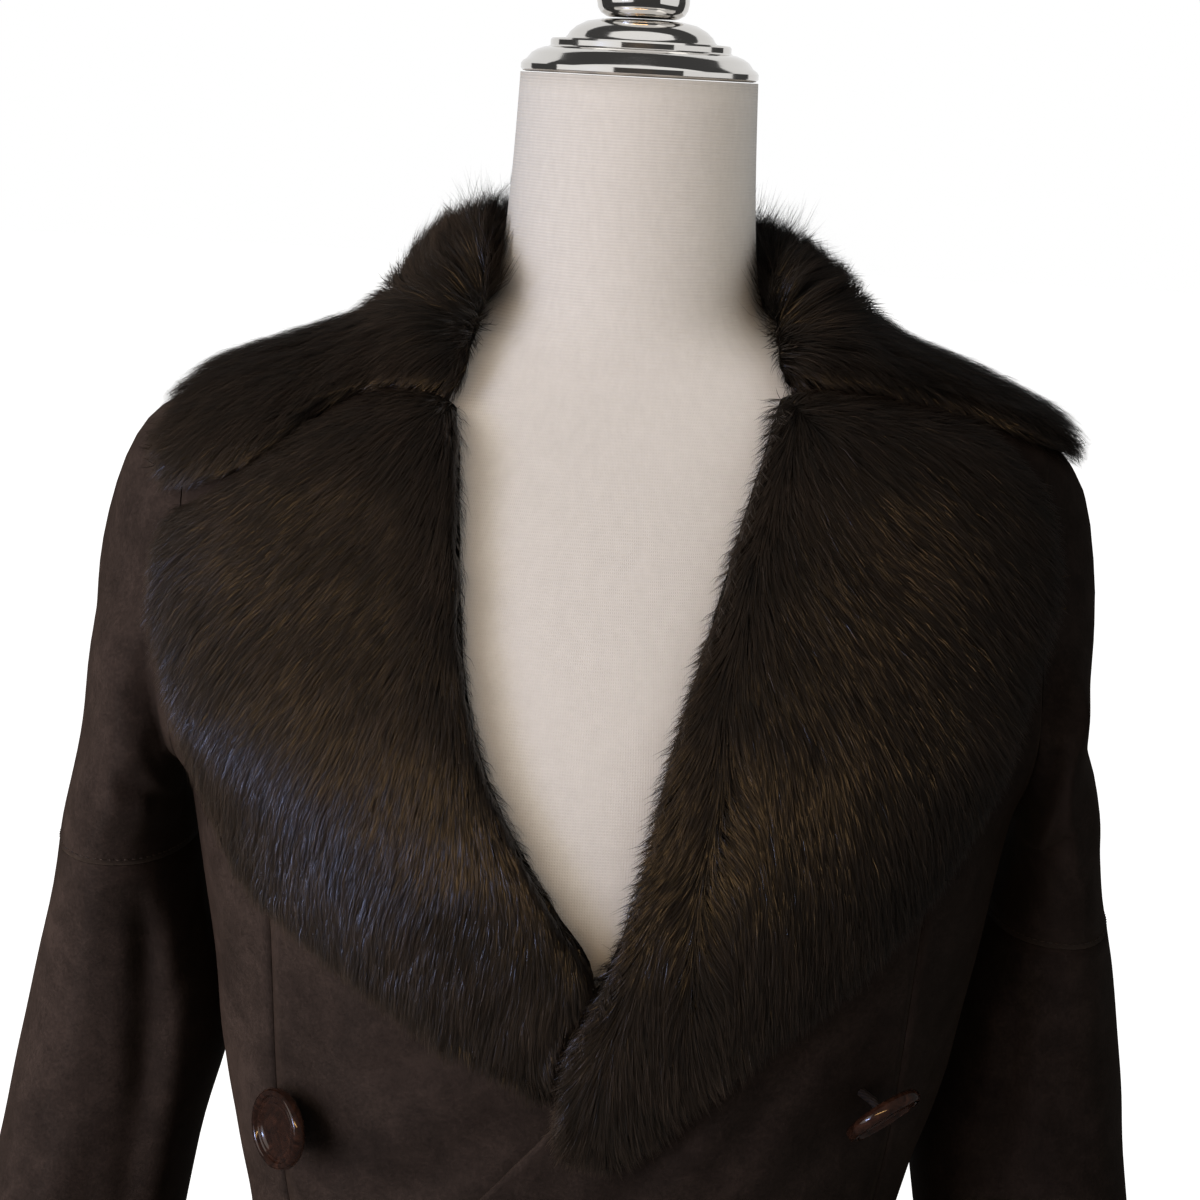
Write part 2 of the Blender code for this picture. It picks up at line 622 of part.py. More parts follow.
def make_sleeves(suede):
    """Each sleeve is joined from an upper and a lower skin, across the upper arm."""
    for side_name, side, table in (("left", 1, SLEEVE_LEFT), ("right", -1, SLEEVE_RIGHT)):
        reads = {c: column(table[::-1], c) for c in SleeveRow._fields if c != "z"}

        def level(z, reads=reads):
            return level_ring(SleeveRow(z=z, **{c: f(z) for c, f in reads.items()}))

        seam = SLEEVE_SEAM_Z[side_name]
        upper = [head_ring(side, *r) for r in HEAD_RINGS]
        for tilt, low_x, low_z, length, depth in UNDERARM_RINGS:
            upper.append(underarm_ring(tilt, low_x, low_z, length[side_name], depth))
        upper += [level(1.156), level(seam + SEAM_GAP / 2)]
        tube(f"sleeve_upper_{side_name}", upper, side, suede, first_is_armhole=True)
        lower = [level(seam - SEAM_GAP / 2)]
        lower += [level(z) for z in (1.095, 1.06, 1.03, 1.0, 0.95, 0.88, 0.80, CUFF_Z)]
        tube(f"sleeve_lower_{side_name}", lower, side, suede)


# ---------------------------------------------------------------- lapels and collar
LAPEL_COLUMNS = (0, 0.035, 0.11, 0.24, 0.40, 0.56, 0.72, 0.86, 0.95, 1.0)
LAPEL_LOFT = (0.55, 0.82, 0.97, 1.0, 1.0, 1.0, 1.0, 0.96, 0.76, 0.42)
END_LOFT = (0.45, 0.82)  # the fur is thinner on the first lines in from a seamed or cut end
COLLAR_COLUMNS = (0, 0.045, 0.11, 0.20, 0.30, 0.41, 0.52, 0.63, 0.74, 0.85, 0.94, 1.0)
COLLAR_LOFT = (0.90, 1.0, 1.0, 1.0, 1.0, 1.0, 1.0, 1.0, 1.0, 0.95, 0.76, 0.42)


def end_share(lines_in):
    """How full the fur is so many lines in from the end of its piece."""
    return END_LOFT[lines_in] if lines_in < len(END_LOFT) else 1.0


def lapel_line(row, shares):
    """Distances from the middle and heights along one row of a lapel.

    The row is bowed upwards most, by its whole bow, a third of the way out.
    """
    peak = 4 / 27
    for u in shares:
        x = blend(row.roll_x, row.outer_x, u)
        yield x, blend(row.roll_z, row.outer_z, u) + row.bow * u * (1 - u) ** 2 / peak


def lapel_rows(table, per_gap=2):
    """The table's rows with more in between."""
    index = list(range(len(table)))
    reads = [smooth_curve(index, [getattr(r, c) for r in table]) for c in LapelRow._fields]
    count = (len(table) - 1) * per_gap
    return [LapelRow(*(f(k / per_gap) for f in reads)) for k in range(count + 1)]


def make_lapel(name, side, table, fur, lift, rolls_above):
    """A turned-back lapel: its skin lies on the front, and its fur stands up from it.

    Above the height rolls_above its edge wraps round to the inside of the front.
    """
    outer, inner = [], []
    rows = lapel_rows(table)
    for i, row in enumerate(rows):
        thin = end_share(min(i, len(rows) - 1 - i))
        face, under = [], []
        for j, (x, z) in enumerate(lapel_line(row, LAPEL_COLUMNS)):
            azimuth = COAT.azimuth_at(side * x, z)
            p, n = COAT.point(azimuth, z), COAT.normal(azimuth, z)
            rest = lift(p.x, z) + LIE_GAP
            base = rest - WALL if j == 0 and z > rolls_above else rest
            under.append(p + n * base)
            face.append(p + n * (rest + FUR_ON_LAPEL * LAPEL_LOFT[j] * thin))
        outer.append(face)
        inner.append(under)
    shell(name, outer, inner, fur)


def collar_front(side, table):
    """The collar's front edge on the coat's surface, as azimuths and heights."""
    run = [0.0]
    for a, b in zip(table, table[1:]):
        run.append(run[-1] + math.hypot(b.x - a.x, b.z - a.z))
    shares = [r / run[-1] for r in run]
    x_at, z_at = (smooth_curve(shares, [getattr(p, c) for p in table]) for c in ("x", "z"))
    line = []
    for u in COLLAR_COLUMNS:
        line.append((COAT.azimuth_at(side * x_at(u), z_at(u)), z_at(u)))
    return line


def collar_section(row, side):
    """A line across the collar on the coat's surface, from the neck seam to the outer edge."""
    start = math.radians(row.neck_deg)
    start_z = neckline_z(start)
    end = math.radians(row.rim_deg)
    line = []
    for u in COLLAR_COLUMNS:
        line.append((side * blend(start, end, u), blend(start_z, row.rim_z, u)))
    return line


def collar_half(side, table, front, per_gap=3):
    """Lines across half of the collar, from its front edge to the middle of the back.

    Each comes with how high it stands at the neck and how full its fur is.
    """
    index = list(range(len(table)))
    reads = [smooth_curve(index, [getattr(r, c) for r in table]) for c in CollarRow._fields]
    count = index[-1] * per_gap
    rows = [CollarRow(*(f(k / per_gap) for f in reads)) for k in range(count + 1)]
    first, second = collar_front(side, front), collar_section(rows[0], side)
    lines = [(first, FRONT_RISE, end_share(0))]
    for i, t in enumerate((0.25, 0.62)):
        between = [(blend(a, c, t), blend(b, d, t)) for (a, b), (c, d) in zip(first, second)]
        lines.append((between, blend(FRONT_RISE, rows[0].rise, t), end_share(i + 1)))
    return lines + [(collar_section(r, side), r.rise, 1.0) for r in rows]


def make_collar(fur):
    """The collar stands round the neck, folds over and falls on the shoulders and back."""
    right = collar_half(-1, COLLAR_ROWS_RIGHT, COLLAR_FRONT_RIGHT)
    left = collar_half(1, COLLAR_ROWS_LEFT, COLLAR_FRONT_LEFT)
    outer, inner = [], []
    up = Vector((0, 0, 1))
    for line, rise, full in right + left[-2::-1]:
        face, under = [], []
        run, before = 0.0, None
        for j, (azimuth, z) in enumerate(line):
            p, n = COAT.point(azimuth, z), COAT.normal(azimuth, z)
            run += (p - before).length if before else 0.0
            before = p
            stand = 1 - ease(run / STAND_RUN)
            flat_loft = FUR_ON_COLLAR * full
            loft = (flat_loft + (rise - flat_loft) * stand) * COLLAR_LOFT[j]
            lean = n.lerp(up, 0.85 * (1 - ease(run / LEAN_RUN)) * ease(rise / 0.03)).normalized()
            under.append(p + n * (COLLAR_GAP + (0.002 if j == 0 else 0)))
            top = p + n * COLLAR_GAP + lean * loft
            if j < 3:
                flat = Vector((p.x, p.y, 0))
                room = flat.length + 0.0022 * j - NECK_CLEAR
                top -= flat.normalized() * min(NECK_PULL, max(room, 0)) * (1, 0.6, 0.2)[j]
            face.append(top)
        outer.append(face)
        inner.append(under)
    shell("collar", outer, inner, fur)


# ---------------------------------------------------------------- buttons
def thread_shank(name, foot, rise, head, facing, made_of, radius=0.0021, steps=10):
    """The sewn threads that lead off the cloth and bend to the back of the button."""
    handle = (head - foot).length / 3
    bends = (foot, foot + rise * handle, head - facing * handle, head)
    mesh = bpy.data.meshes.new(name)
    bm = bmesh.new()
    rings = []
    for t in (0.0, 0.35, 0.65, 1.0):
        weights = ((1 - t) ** 3, 3 * t * (1 - t) ** 2, 3 * t * t * (1 - t), t**3)
        centre = sum((b * w for b, w in zip(bends, weights)), Vector())
        turn = rise.lerp(facing, t).to_track_quat("Z", "Y")
        ring = []
        for k in range(steps):
            a = 2 * math.pi * k / steps
            spoke = Vector((radius * math.cos(a), radius * math.sin(a), 0))
            ring.append(bm.verts.new(centre + turn @ spoke))
        rings.append(ring)
    for low, high in zip(rings, rings[1:]):
        for k in range(steps):
            n = (k + 1) % steps
            bm.faces.new((low[k], low[n], high[n], high[k]))
    bm.faces.new(rings[0][::-1])
    bm.faces.new(rings[-1])
    bmesh.ops.recalc_face_normals(bm, faces=bm.faces)
    bmesh.ops.triangulate(bm, faces=bm.faces)
    bm.to_mesh(mesh)
    bm.free()
    return add_object(name, mesh, made_of)


def place_button(name, side, x, z, facing, stand_off, resin, thread, lift=0.0):
    """A domed coat button on its thread shank. facing is the way its face looks."""
    azimuth = COAT.azimuth_at(side * x, z)
    n = COAT.normal(azimuth, z)
    on_cloth = COAT.point(azimuth, z) + n * lift
    facing = n if facing is None else Vector(facing).normalized()
    disc = turned(name, BUTTON_PROFILE, resin, segments=20)
    disc.rotation_mode = "QUATERNION"
    disc.rotation_quaternion = facing.to_track_quat("Z", "Y")
    disc.location = on_cloth + n * stand_off
    thread_shank(f"{name}_shank", on_cloth + n * THREAD_GAP, n, disc.location - facing * 0.0004,
                 facing, thread)


def make_buttons(resin, thread):
    """Two rows of two: the upper row is free, and the lower one holds the fronts closed."""
    place_button("button_top_right", -1, 0.1250, 1.0460, (-0.75, -0.66, 0.05), 0.0090,
                 resin, thread, -FLAT_OF_CURVE)
    place_button("button_top_left", 1, 0.1185, 1.0765, (0.55, -0.47, -0.69), 0.0135,
                 resin, thread, overlap_lift(0.1185, 1.0765))
    for name, side in (("button_low_right", -1), ("button_low_left", 1)):
        place_button(name, side, 0.102, 0.905, None, 0.0038, resin, thread, OVERLAP_LIFT)


# ---------------------------------------------------------------- dress form and stand
FORM_SECTIONS = [
    Section(FORM_BOTTOM_Z, 0.124, 0.124, 0.085, 0.095, 2.10),
    Section(0.790, 0.138, 0.138, 0.094, 0.106, 2.10),
    Section(0.835, 0.145, 0.145, 0.099, 0.112, 2.15),
    Section(0.885, 0.140, 0.140, 0.096, 0.107, 2.15),
    Section(0.930, 0.127, 0.127, 0.090, 0.093, 2.15),
    Section(0.965, 0.121, 0.121, 0.086, 0.084, 2.15),
    Section(1.015, 0.127, 0.127, 0.093, 0.084, 2.15),
    Section(1.070, 0.139, 0.139, 0.1055, 0.090, 2.20),
    Section(1.130, 0.151, 0.151, 0.1225, 0.097, 2.20),
    Section(1.180, 0.157, 0.157, 0.1285, 0.102, 2.20),
    Section(1.230, 0.164, 0.164, 0.1200, 0.106, 2.15),
    Section(1.275, 0.174, 0.174, 0.1040, 0.104, 2.10),
    Section(1.310, 0.1805, 0.1805, 0.0890, 0.099, 2.10),
    Section(1.334, 0.1810, 0.1805, 0.0765, 0.090, 2.05),
    Section(1.350, 0.1760, 0.1735, 0.0705, 0.084, 2.05),
    Section(1.361, 0.1617, 0.1527, 0.0662, 0.0793, 2.03),
    Section(1.371, 0.1410, 0.1300, 0.0630, 0.0745, 2.00),
    Section(1.381, 0.1097, 0.1000, 0.0612, 0.0693, 2.00),
    Section(1.391, 0.0768, 0.0747, 0.0594, 0.0640, 2.00),
    Section(1.402, 0.0600, 0.0600, 0.0580, 0.0595, 2.00),
    Section(1.420, 0.0565, 0.0565, 0.0560, 0.0563, 2.00),
    Section(1.455, 0.0538, 0.0538, 0.0537, 0.0537, 2.00),
    Section(FORM_TOP_Z, 0.0520, 0.0520, 0.0520, 0.0520, 2.00),
]
FORM_STEPS = 30


def make_form(linen):
    """The padded body of the dress form, from the hips to the top of the neck."""
    form = Stack(FORM_SECTIONS)
    mesh = bpy.data.meshes.new("dress_form")
    bm = bmesh.new()
    rings = []
    for row in FORM_SECTIONS:
        turns = [2 * math.pi * k / FORM_STEPS for k in range(FORM_STEPS)]
        rings.append([bm.verts.new(form.point(a, row.z)) for a in turns])
    for low, high in zip(rings, rings[1:]):
        for k in range(FORM_STEPS):
            n = (k + 1) % FORM_STEPS
            bm.faces.new((low[k], low[n], high[n], high[k]))
    bm.faces.new(rings[0][::-1])
    bm.faces.new(rings[-1])
    bmesh.ops.recalc_face_normals(bm, faces=bm.faces)
    bmesh.ops.triangulate(bm, faces=bm.faces)
    bm.to_mesh(mesh)
    bm.free()
    add_object("dress_form", mesh, linen)


def make_stand(chrome):
    """The turned cap and knob on the neck, the pole under the form and its round foot."""
    turned("neck_cap", CAP_PROFILE, chrome, 28).location.z = CAP_Z
    turned("cap_knob", KNOB_PROFILE, chrome, 20).location.z = CAP_Z + CAP_PROFILE[-1][1] + STACK_GAP
    turned("foot", FOOT_PROFILE, chrome, 36)
    low = FOOT_PROFILE[-1][1] + STACK_GAP
    turned("pole", [(POLE_RADIUS, low), (POLE_RADIUS, FORM_BOTTOM_Z - STACK_GAP)], chrome, 20)


def main():
    for obj in list(bpy.data.objects):
        bpy.data.objects.remove(obj, do_unlink=True)
    suede = material("suede", (0.030, 0.022, 0.018), 0.85)
    fur = material("rabbit_fur", (0.016, 0.012, 0.009), 0.70)
    resin = material("button_resin", (0.045, 0.018, 0.010), 0.25)
    thread = material("sewing_thread", (0.020, 0.014, 0.011), 0.80)
    linen = material("linen", (0.72, 0.68, 0.62), 0.90)
    chrome = material("chrome", (0.80, 0.80, 0.80), 0.12, 1.0)
    make_fronts(suede)
    make_sides(suede)
    make_back(suede)
    make_sleeves(suede)
    make_lapel("lapel_right", -1, LAPEL_RIGHT, fur, lambda x, z: 0.0, UNDER_EDGE[-1].z)
    make_lapel("lapel_left", 1, LAPEL_LEFT, fur, overlap_lift, LEADING_EDGE[-1].z)
    make_collar(fur)
    make_buttons(resin, thread)
    make_form(linen)
    make_stand(chrome)


main()
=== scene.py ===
"""Dresses the frame of a fur-collared suede coat: suede, fur, buttons, dress form and stage.

Metres, +Z up. The coat faces -Y, so the wearer's left is +X.
"""

import json
import math
from collections import namedtuple

import bmesh
import bpy
import numpy as np
from bpy.props import FloatProperty, FloatVectorProperty, PointerProperty
from mathutils import Matrix, Vector
from mathutils.bvhtree import BVHTree

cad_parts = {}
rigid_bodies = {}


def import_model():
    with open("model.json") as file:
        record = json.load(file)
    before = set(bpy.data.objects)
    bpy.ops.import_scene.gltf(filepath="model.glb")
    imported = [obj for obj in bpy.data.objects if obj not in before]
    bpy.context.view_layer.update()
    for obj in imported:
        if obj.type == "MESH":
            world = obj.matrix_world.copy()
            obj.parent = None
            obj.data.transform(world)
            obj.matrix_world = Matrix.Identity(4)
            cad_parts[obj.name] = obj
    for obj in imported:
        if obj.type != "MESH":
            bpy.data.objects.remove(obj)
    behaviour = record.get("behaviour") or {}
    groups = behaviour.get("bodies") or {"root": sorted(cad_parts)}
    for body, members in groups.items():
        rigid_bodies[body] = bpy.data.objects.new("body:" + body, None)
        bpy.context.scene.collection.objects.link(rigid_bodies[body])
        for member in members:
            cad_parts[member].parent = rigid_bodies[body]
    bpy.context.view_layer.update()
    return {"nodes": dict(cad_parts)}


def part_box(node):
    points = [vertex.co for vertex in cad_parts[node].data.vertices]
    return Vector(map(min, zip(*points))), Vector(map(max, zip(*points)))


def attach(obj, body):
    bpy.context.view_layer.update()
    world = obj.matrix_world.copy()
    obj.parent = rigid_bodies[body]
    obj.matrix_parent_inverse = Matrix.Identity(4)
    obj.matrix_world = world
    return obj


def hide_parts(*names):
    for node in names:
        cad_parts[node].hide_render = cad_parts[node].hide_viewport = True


bl_info = {
    "name": "Fur-Collared Suede Coat",
    "version": (1, 0, 0),
    "blender": (4, 5, 0),
    "location": "View3D > Sidebar > Coat",
    "description": "Suede coat with a rabbit-fur collar and lapels on a dress form",
    "category": "Object",
}

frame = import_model()
MM = 0.001
MERGE = 0.01 * MM  # points nearer than this are one point
CUT_EDGE = math.radians(42)  # a frame piece turns by more than this at its cut edges

# ---------------------------------------------------------------- tables
# The flat size that each skin is cut to, in metres and square metres, and what it rests on.
Cut = namedtuple("Cut", "node width length area rests_on")
SUEDE_CUTS = [
    Cut("front_left", 0.36, 0.84, 0.190, ["dress_form", "front_right"]),
    Cut("front_right", 0.33, 0.84, 0.170, ["dress_form"]),
    Cut("side_left", 0.14, 0.74, 0.066, ["front_left", "back"]),
    Cut("side_right", 0.14, 0.74, 0.066, ["front_right", "back"]),
    Cut("back", 0.60, 0.86, 0.390, ["dress_form"]),
    Cut("sleeve_upper_left", 0.36, 0.22, 0.046, ["side_left", "back"]),
    Cut("sleeve_upper_right", 0.36, 0.22, 0.042, ["side_right", "back"]),
    Cut("sleeve_lower_left", 0.36, 0.43, 0.130, ["sleeve_upper_left"]),
    Cut("sleeve_lower_right", 0.36, 0.43, 0.140, ["sleeve_upper_right"]),
]
FUR_CUTS = [
    Cut("lapel_left", 0.18, 0.36, 0.042, ["front_left"]),
    Cut("lapel_right", 0.18, 0.33, 0.036, ["front_right"]),
    Cut("collar", 0.20, 0.80, 0.115, ["back", "front_left", "front_right"]),
]

# A crease runs between two points of a skin, in metres, seen from the front or from behind.
Crease = namedtuple("Crease", "x1 z1 x2 z2 depth_mm width_mm behind")
CREASES = {
    "sleeve_lower_right": [
        Crease(-0.204, 1.118, -0.2045, 1.070, 4.5, 6.0, False),
        Crease(-0.2045, 1.070, -0.2055, 1.015, 4.0, 7.0, False),
        Crease(-0.2055, 1.020, -0.2130, 0.950, 3.0, 8.0, False),
        Crease(-0.186, 1.113, -0.199, 1.062, 3.0, 5.0, False),
        Crease(-0.235, 1.020, -0.262, 0.985, 2.0, 9.0, False),
        Crease(-0.222, 0.930, -0.255, 0.880, 2.2, 9.0, False),
        Crease(-0.208, 1.060, -0.246, 1.020, 2.4, 8.0, True),
        Crease(-0.200, 1.000, -0.250, 0.965, 3.0, 9.0, True),
        Crease(-0.225, 0.900, -0.262, 0.850, 2.0, 9.0, True),
    ],
    "sleeve_lower_left": [
        Crease(0.196, 1.096, 0.199, 1.020, 3.0, 7.0, False),
        Crease(0.214, 1.060, 0.236, 1.010, 2.2, 8.0, False),
        Crease(0.190, 1.010, 0.215, 0.960, 3.0, 8.0, False),
        Crease(0.206, 0.930, 0.246, 0.880, 2.2, 9.0, False),
        Crease(0.196, 1.050, 0.236, 1.015, 2.6, 8.0, True),
        Crease(0.188, 0.985, 0.240, 0.955, 2.8, 9.0, True),
        Crease(0.216, 0.890, 0.252, 0.845, 2.0, 9.0, True),
    ],
    "sleeve_upper_right": [
        Crease(-0.196, 1.205, -0.226, 1.160, 2.6, 8.0, False),
        Crease(-0.200, 1.200, -0.228, 1.158, 2.4, 8.0, True),
    ],
    "sleeve_upper_left": [
        Crease(0.196, 1.212, 0.222, 1.166, 2.6, 8.0, False),
        Crease(0.200, 1.205, 0.224, 1.160, 2.4, 8.0, True),
    ],
    "front_right": [
        Crease(-0.060, 1.088, -0.120, 1.060, 1.6, 12.0, False),
        Crease(-0.028, 1.062, -0.084, 1.020, 2.0, 11.0, False),
        Crease(-0.060, 1.030, -0.120, 0.985, 1.8, 12.0, False),
    ],
    "front_left": [
        Crease(0.060, 1.098, 0.020, 1.034, 2.2, 9.0, False),
        Crease(0.094, 1.118, 0.056, 1.030, 1.8, 10.0, False),
        Crease(0.112, 1.060, 0.040, 0.985, 2.0, 12.0, False),
        Crease(0.020, 1.010, -0.060, 0.960, 2.2, 11.0, False),
        Crease(0.080, 0.960, 0.000, 0.930, 1.8, 12.0, False),
        Crease(-0.060, 0.900, -0.020, 0.760, 2.6, 14.0, False),
        Crease(0.060, 0.890, 0.040, 0.740, 2.6, 14.0, False),
    ],
    "side_left": [
        Crease(0.146, 1.120, 0.158, 1.050, 1.6, 9.0, False),
        Crease(0.125, 0.985, 0.137, 0.955, 1.8, 8.0, False),
    ],
    "side_right": [
        Crease(-0.146, 1.120, -0.160, 1.050, 1.6, 9.0, False),
        Crease(-0.128, 0.985, -0.146, 0.955, 2.2, 9.0, False),
    ],
    "back": [
        Crease(-0.110, 1.190, -0.050, 1.120, 2.4, 14.0, True),
        Crease(0.115, 1.200, 0.060, 1.115, 2.2, 14.0, True),
        Crease(-0.100, 0.990, 0.010, 0.965, 2.4, 11.0, True),
        Crease(0.110, 1.000, 0.020, 0.950, 2.4, 12.0, True),
        Crease(-0.060, 0.930, -0.080, 0.760, 3.0, 16.0, True),
        Crease(0.050, 0.920, 0.075, 0.740, 3.0, 16.0, True),
    ],
}

# How many hairs each fur piece has, and how strongly they run away from the neck, downwards
# and over the cut edge.
Pelt = namedtuple("Pelt", "node hairs radial down edge_pull seed")
FUR = [
    Pelt("lapel_left", 63000, 0.10, 1.0, 1.20, 11),
    Pelt("lapel_right", 61000, 0.10, 1.0, 0.45, 12),
    Pelt("collar", 64000, 1.0, 0.10, 0.30, 13),
    Pelt("collar", 64000, 1.0, 0.10, 0.30, 14),
]

# Turned outlines, as radius and height in millimetres.
BUTTON_OUTLINE = [
    (0, 0.3), (9, 0.2), (14.6, 0.2), (16.4, 0.6), (17.6, 1.7), (18.0, 3.2), (17.8, 4.8),
    (17.1, 6.0), (16.2, 6.5), (15.2, 6.4), (14.5, 5.7), (14.1, 4.9), (13.4, 4.6), (12.7, 4.9),
    (12.1, 5.0), (11.5, 4.7), (10.8, 4.2), (9.6, 4.1), (8.7, 4.3), (8.1, 4.2), (4.0, 4.6),
    (0, 4.75),
]
CAP_OUTLINE = [
    (0, 0.05), (49.5, 0.05), (51.2, 0.4), (52.0, 1.3), (52.0, 3.4), (51.2, 4.6), (49.6, 5.6),
    (47.6, 8.2), (45.0, 9.8), (42.0, 10.9), (40.2, 11.2), (39.5, 11.8), (39.5, 14.0), (38.9, 14.8),
    (36.0, 15.0), (33.2, 15.3), (32.3, 16.2), (31.2, 18.0), (28.6, 20.4), (24.0, 22.8),
    (18.0, 24.0), (11.0, 24.4), (0, 24.45),
]
KNOB_OUTLINE = [
    (0, 0.02), (14.6, 0.02), (15.8, 0.4), (18.3, 1.9), (19.6, 4.0), (20.2, 6.8), (20.25, 9.8),
    (20.1, 12.6), (19.4, 16.2), (17.8, 19.8), (15.2, 23.0), (11.8, 25.8), (7.0, 27.8), (0, 28.45),
]
FOOT_OUTLINE = [
    (0, 0), (183, 0), (184.5, 0.8), (185, 2.2), (185, 7.6), (184, 9.4), (178, 11.8), (120, 14.9),
    (60, 18.0), (34, 19.8), (29, 21.0), (25, 23.4), (21.4, 25.4), (20.4, 25.95), (13.0, 25.97),
    (0, 25.97),
]

HAIR_ANGLE, HAIR_ANGLE_SPREAD = 13, 3  # degrees between a hair and its skin
STAND_ANGLE = 14  # degrees more on the collar's stand
HAIR_LENGTHS = (0.62, 1.12)  # shortest and longest, as shares of the set length
HAIR_WIDTHS = (0.6, 1.3)  # the same for the width
SHORT_RUN = 16 * MM  # hair is shorter than elsewhere this near to a cut edge
LOCK_HAIRS = 28  # hairs that gather into one lock
UNDERFUR_SHARE = 0.55  # the underfur's part of the fur's thickness

# The hair of the wearer's left lapel parts along this line.
PARTING = ((0.0500, -0.1409, 1.2207), (0.0418, -0.1487, 1.1782))
PARTING_REACH = 9 * MM

STAND_Z = 1.378  # the collar's hair turns upwards above this height
STAND_RISE = 0.030

LINEN_RADIUS = 0.15  # chest radius that the linen's threads are spaced for
SETTLE_ROUNDS, SETTLE_STEP = 4, 0.85  # how a smoothed surface is brought back to its points

CAMERA_PLACE = (-0.005, -1.15, 1.5)
CAMERA_DOWN = math.radians(11.5)
CAMERA_ROLL = math.radians(3.06)
CAMERA_LENS = 77.34


def linear(hex_colour):
    """An sRGB hex colour as linear red, green, blue and alpha."""
    parts = [int(hex_colour[i : i + 2], 16) / 255 for i in (1, 3, 5)]
    return (*(c / 12.92 if c <= 0.04045 else ((c + 0.055) / 1.055) ** 2.4 for c in parts), 1.0)


# ---------------------------------------------------------------- settings
class CoatSettings(bpy.types.PropertyGroup):
    """Colours and sizes of the coat's skins and its fur."""

    suede: FloatVectorProperty(
        name="Suede", description="Colour of the suede's nap", subtype="COLOR", size=3,
        default=linear("#120d0b")[:3])
    hair_root: FloatVectorProperty(
        name="Hair roots", description="Colour near the skin", subtype="COLOR", size=3,
        default=linear("#0b0907")[:3])
    hair_tip: FloatVectorProperty(
        name="Hair tips", description="Colour of the guard hairs", subtype="COLOR", size=3,
        default=linear("#1a140f")[:3])
    hair_length: FloatProperty(
        name="Hair length", description="Length of a guard hair", unit="LENGTH", default=0.021)
    hair_width: FloatProperty(
        name="Hair width", description="Width of a drawn hair", unit="LENGTH", default=0.00025)


class FormSettings(bpy.types.PropertyGroup):
    """Colours of the dress form, its metal and the buttons."""

    linen: FloatVectorProperty(
        name="Linen", description="Colour of the form's cover", subtype="COLOR", size=3,
        default=linear("#d2d0cc")[:3])
    resin: FloatVectorProperty(
        name="Resin", description="Colour of the buttons", subtype="COLOR", size=3,
        default=linear("#27160f")[:3])


class StageSettings(bpy.types.PropertyGroup):
    """Floor and lights."""

    floor_size: FloatProperty(
        name="Floor", description="Width of the floor", unit="LENGTH", default=40.0)
    room: FloatProperty(
        name="Room", description="Brightness of the white room as a soft fill", default=0.49)
    room_mirrored: FloatProperty(
        name="Room mirrored", description="Its brightness in glossy surfaces", default=0.06)
    key_power: FloatProperty(
        name="Key", description="Power of the large soft light", unit="POWER", default=33.0)
    side_power: FloatProperty(
        name="Side", description="Power of the light beside the coat", unit="POWER",
        default=225.0)


# ---------------------------------------------------------------- small helpers
def add_node(tree, kind, inputs=None, **settings):
    """Adds a node. A value in inputs is set on the socket, and a socket in inputs is linked."""
    made = tree.nodes.new(kind)
    for name, value in settings.items():
        setattr(made, name, value)
    for socket, value in (inputs or {}).items():
        if isinstance(value, bpy.types.NodeSocket):
            tree.links.new(value, made.inputs[socket])
        else:
            made.inputs[socket].default_value = value
    return made


def new_material(name):
    """A material with its node tree and its Principled shader."""
    made = bpy.data.materials.new(name)
    made.use_nodes = True
    return made, made.node_tree, made.node_tree.nodes["Principled BSDF"]


def ramp(tree, factor, *stops):
    """A colour ramp through (position, colour) stops."""
    made = add_node(tree, "ShaderNodeValToRGB", {"Fac": factor})
    elements = made.color_ramp.elements
    while len(elements) < len(stops):
        elements.new(0.5)
    for element, (place, colour) in zip(elements, stops):
        element.position = place
        element.color = colour
    return made.outputs["Color"]


def shade(colour, factor):
    """A lighter or darker tone of a colour."""
    return (*(c * factor for c in colour[:3]), 1.0)


def add_object(name, data):
    """Puts a mesh, a light or a camera in the scene as an object of its own."""
    obj = bpy.data.objects.new(name, data)
    bpy.context.scene.collection.objects.link(obj)
    return obj


def paint_frame_piece(node, material):
    """Gives a frame piece its material, and leaves its mesh alone."""
    materials = frame["nodes"][node].data.materials
    materials.clear()
    materials.append(material)


def only(obj):
    """Selects obj alone and makes it active."""
    if bpy.context.mode != "OBJECT":
        bpy.ops.object.mode_set(mode="OBJECT")
    bpy.ops.object.select_all(action="DESELECT")
    bpy.context.view_layer.objects.active = obj
    obj.select_set(True)


def finish_piece(obj, material, smooth_below=None):
    """Gives a piece its material and smooth shading, and fixes it to the frame's body."""
    obj.data.materials.clear()
    obj.data.materials.append(material)
    obj.data.shade_smooth()
    if smooth_below:
        only(obj)
        bpy.ops.object.shade_smooth_by_angle(angle=math.radians(smooth_below))
    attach(obj, "root")


def tree_of(*objects):
    """One search tree over the faces of several meshes."""
    corners, faces = [], []
    for obj in objects:
        start = len(corners)
        corners += [v.co.copy() for v in obj.data.vertices]
        faces += [[start + i for i in p.vertices] for p in obj.data.polygons]
    return BVHTree.FromPolygons(corners, faces)


def positions(mesh):
    """The points of a mesh, a row for each."""
    flat = np.empty(3 * len(mesh.vertices), dtype=np.float64)
    mesh.vertices.foreach_get("co", flat)
    return flat.reshape(-1, 3)


def directions(mesh):
    """The normals at the points of a mesh."""
    return np.array([v.vector for v in mesh.vertex_normals], dtype=np.float64)


def set_positions(mesh, points):
    """Moves the points of a mesh to new places."""
    mesh.vertices.foreach_set("co", points.astype(np.float32).ravel())
    mesh.update()


def unit(vectors):
    """The same directions, one metre long."""
    return vectors / np.maximum(np.linalg.norm(vectors, axis=-1, keepdims=True), 1e-9)


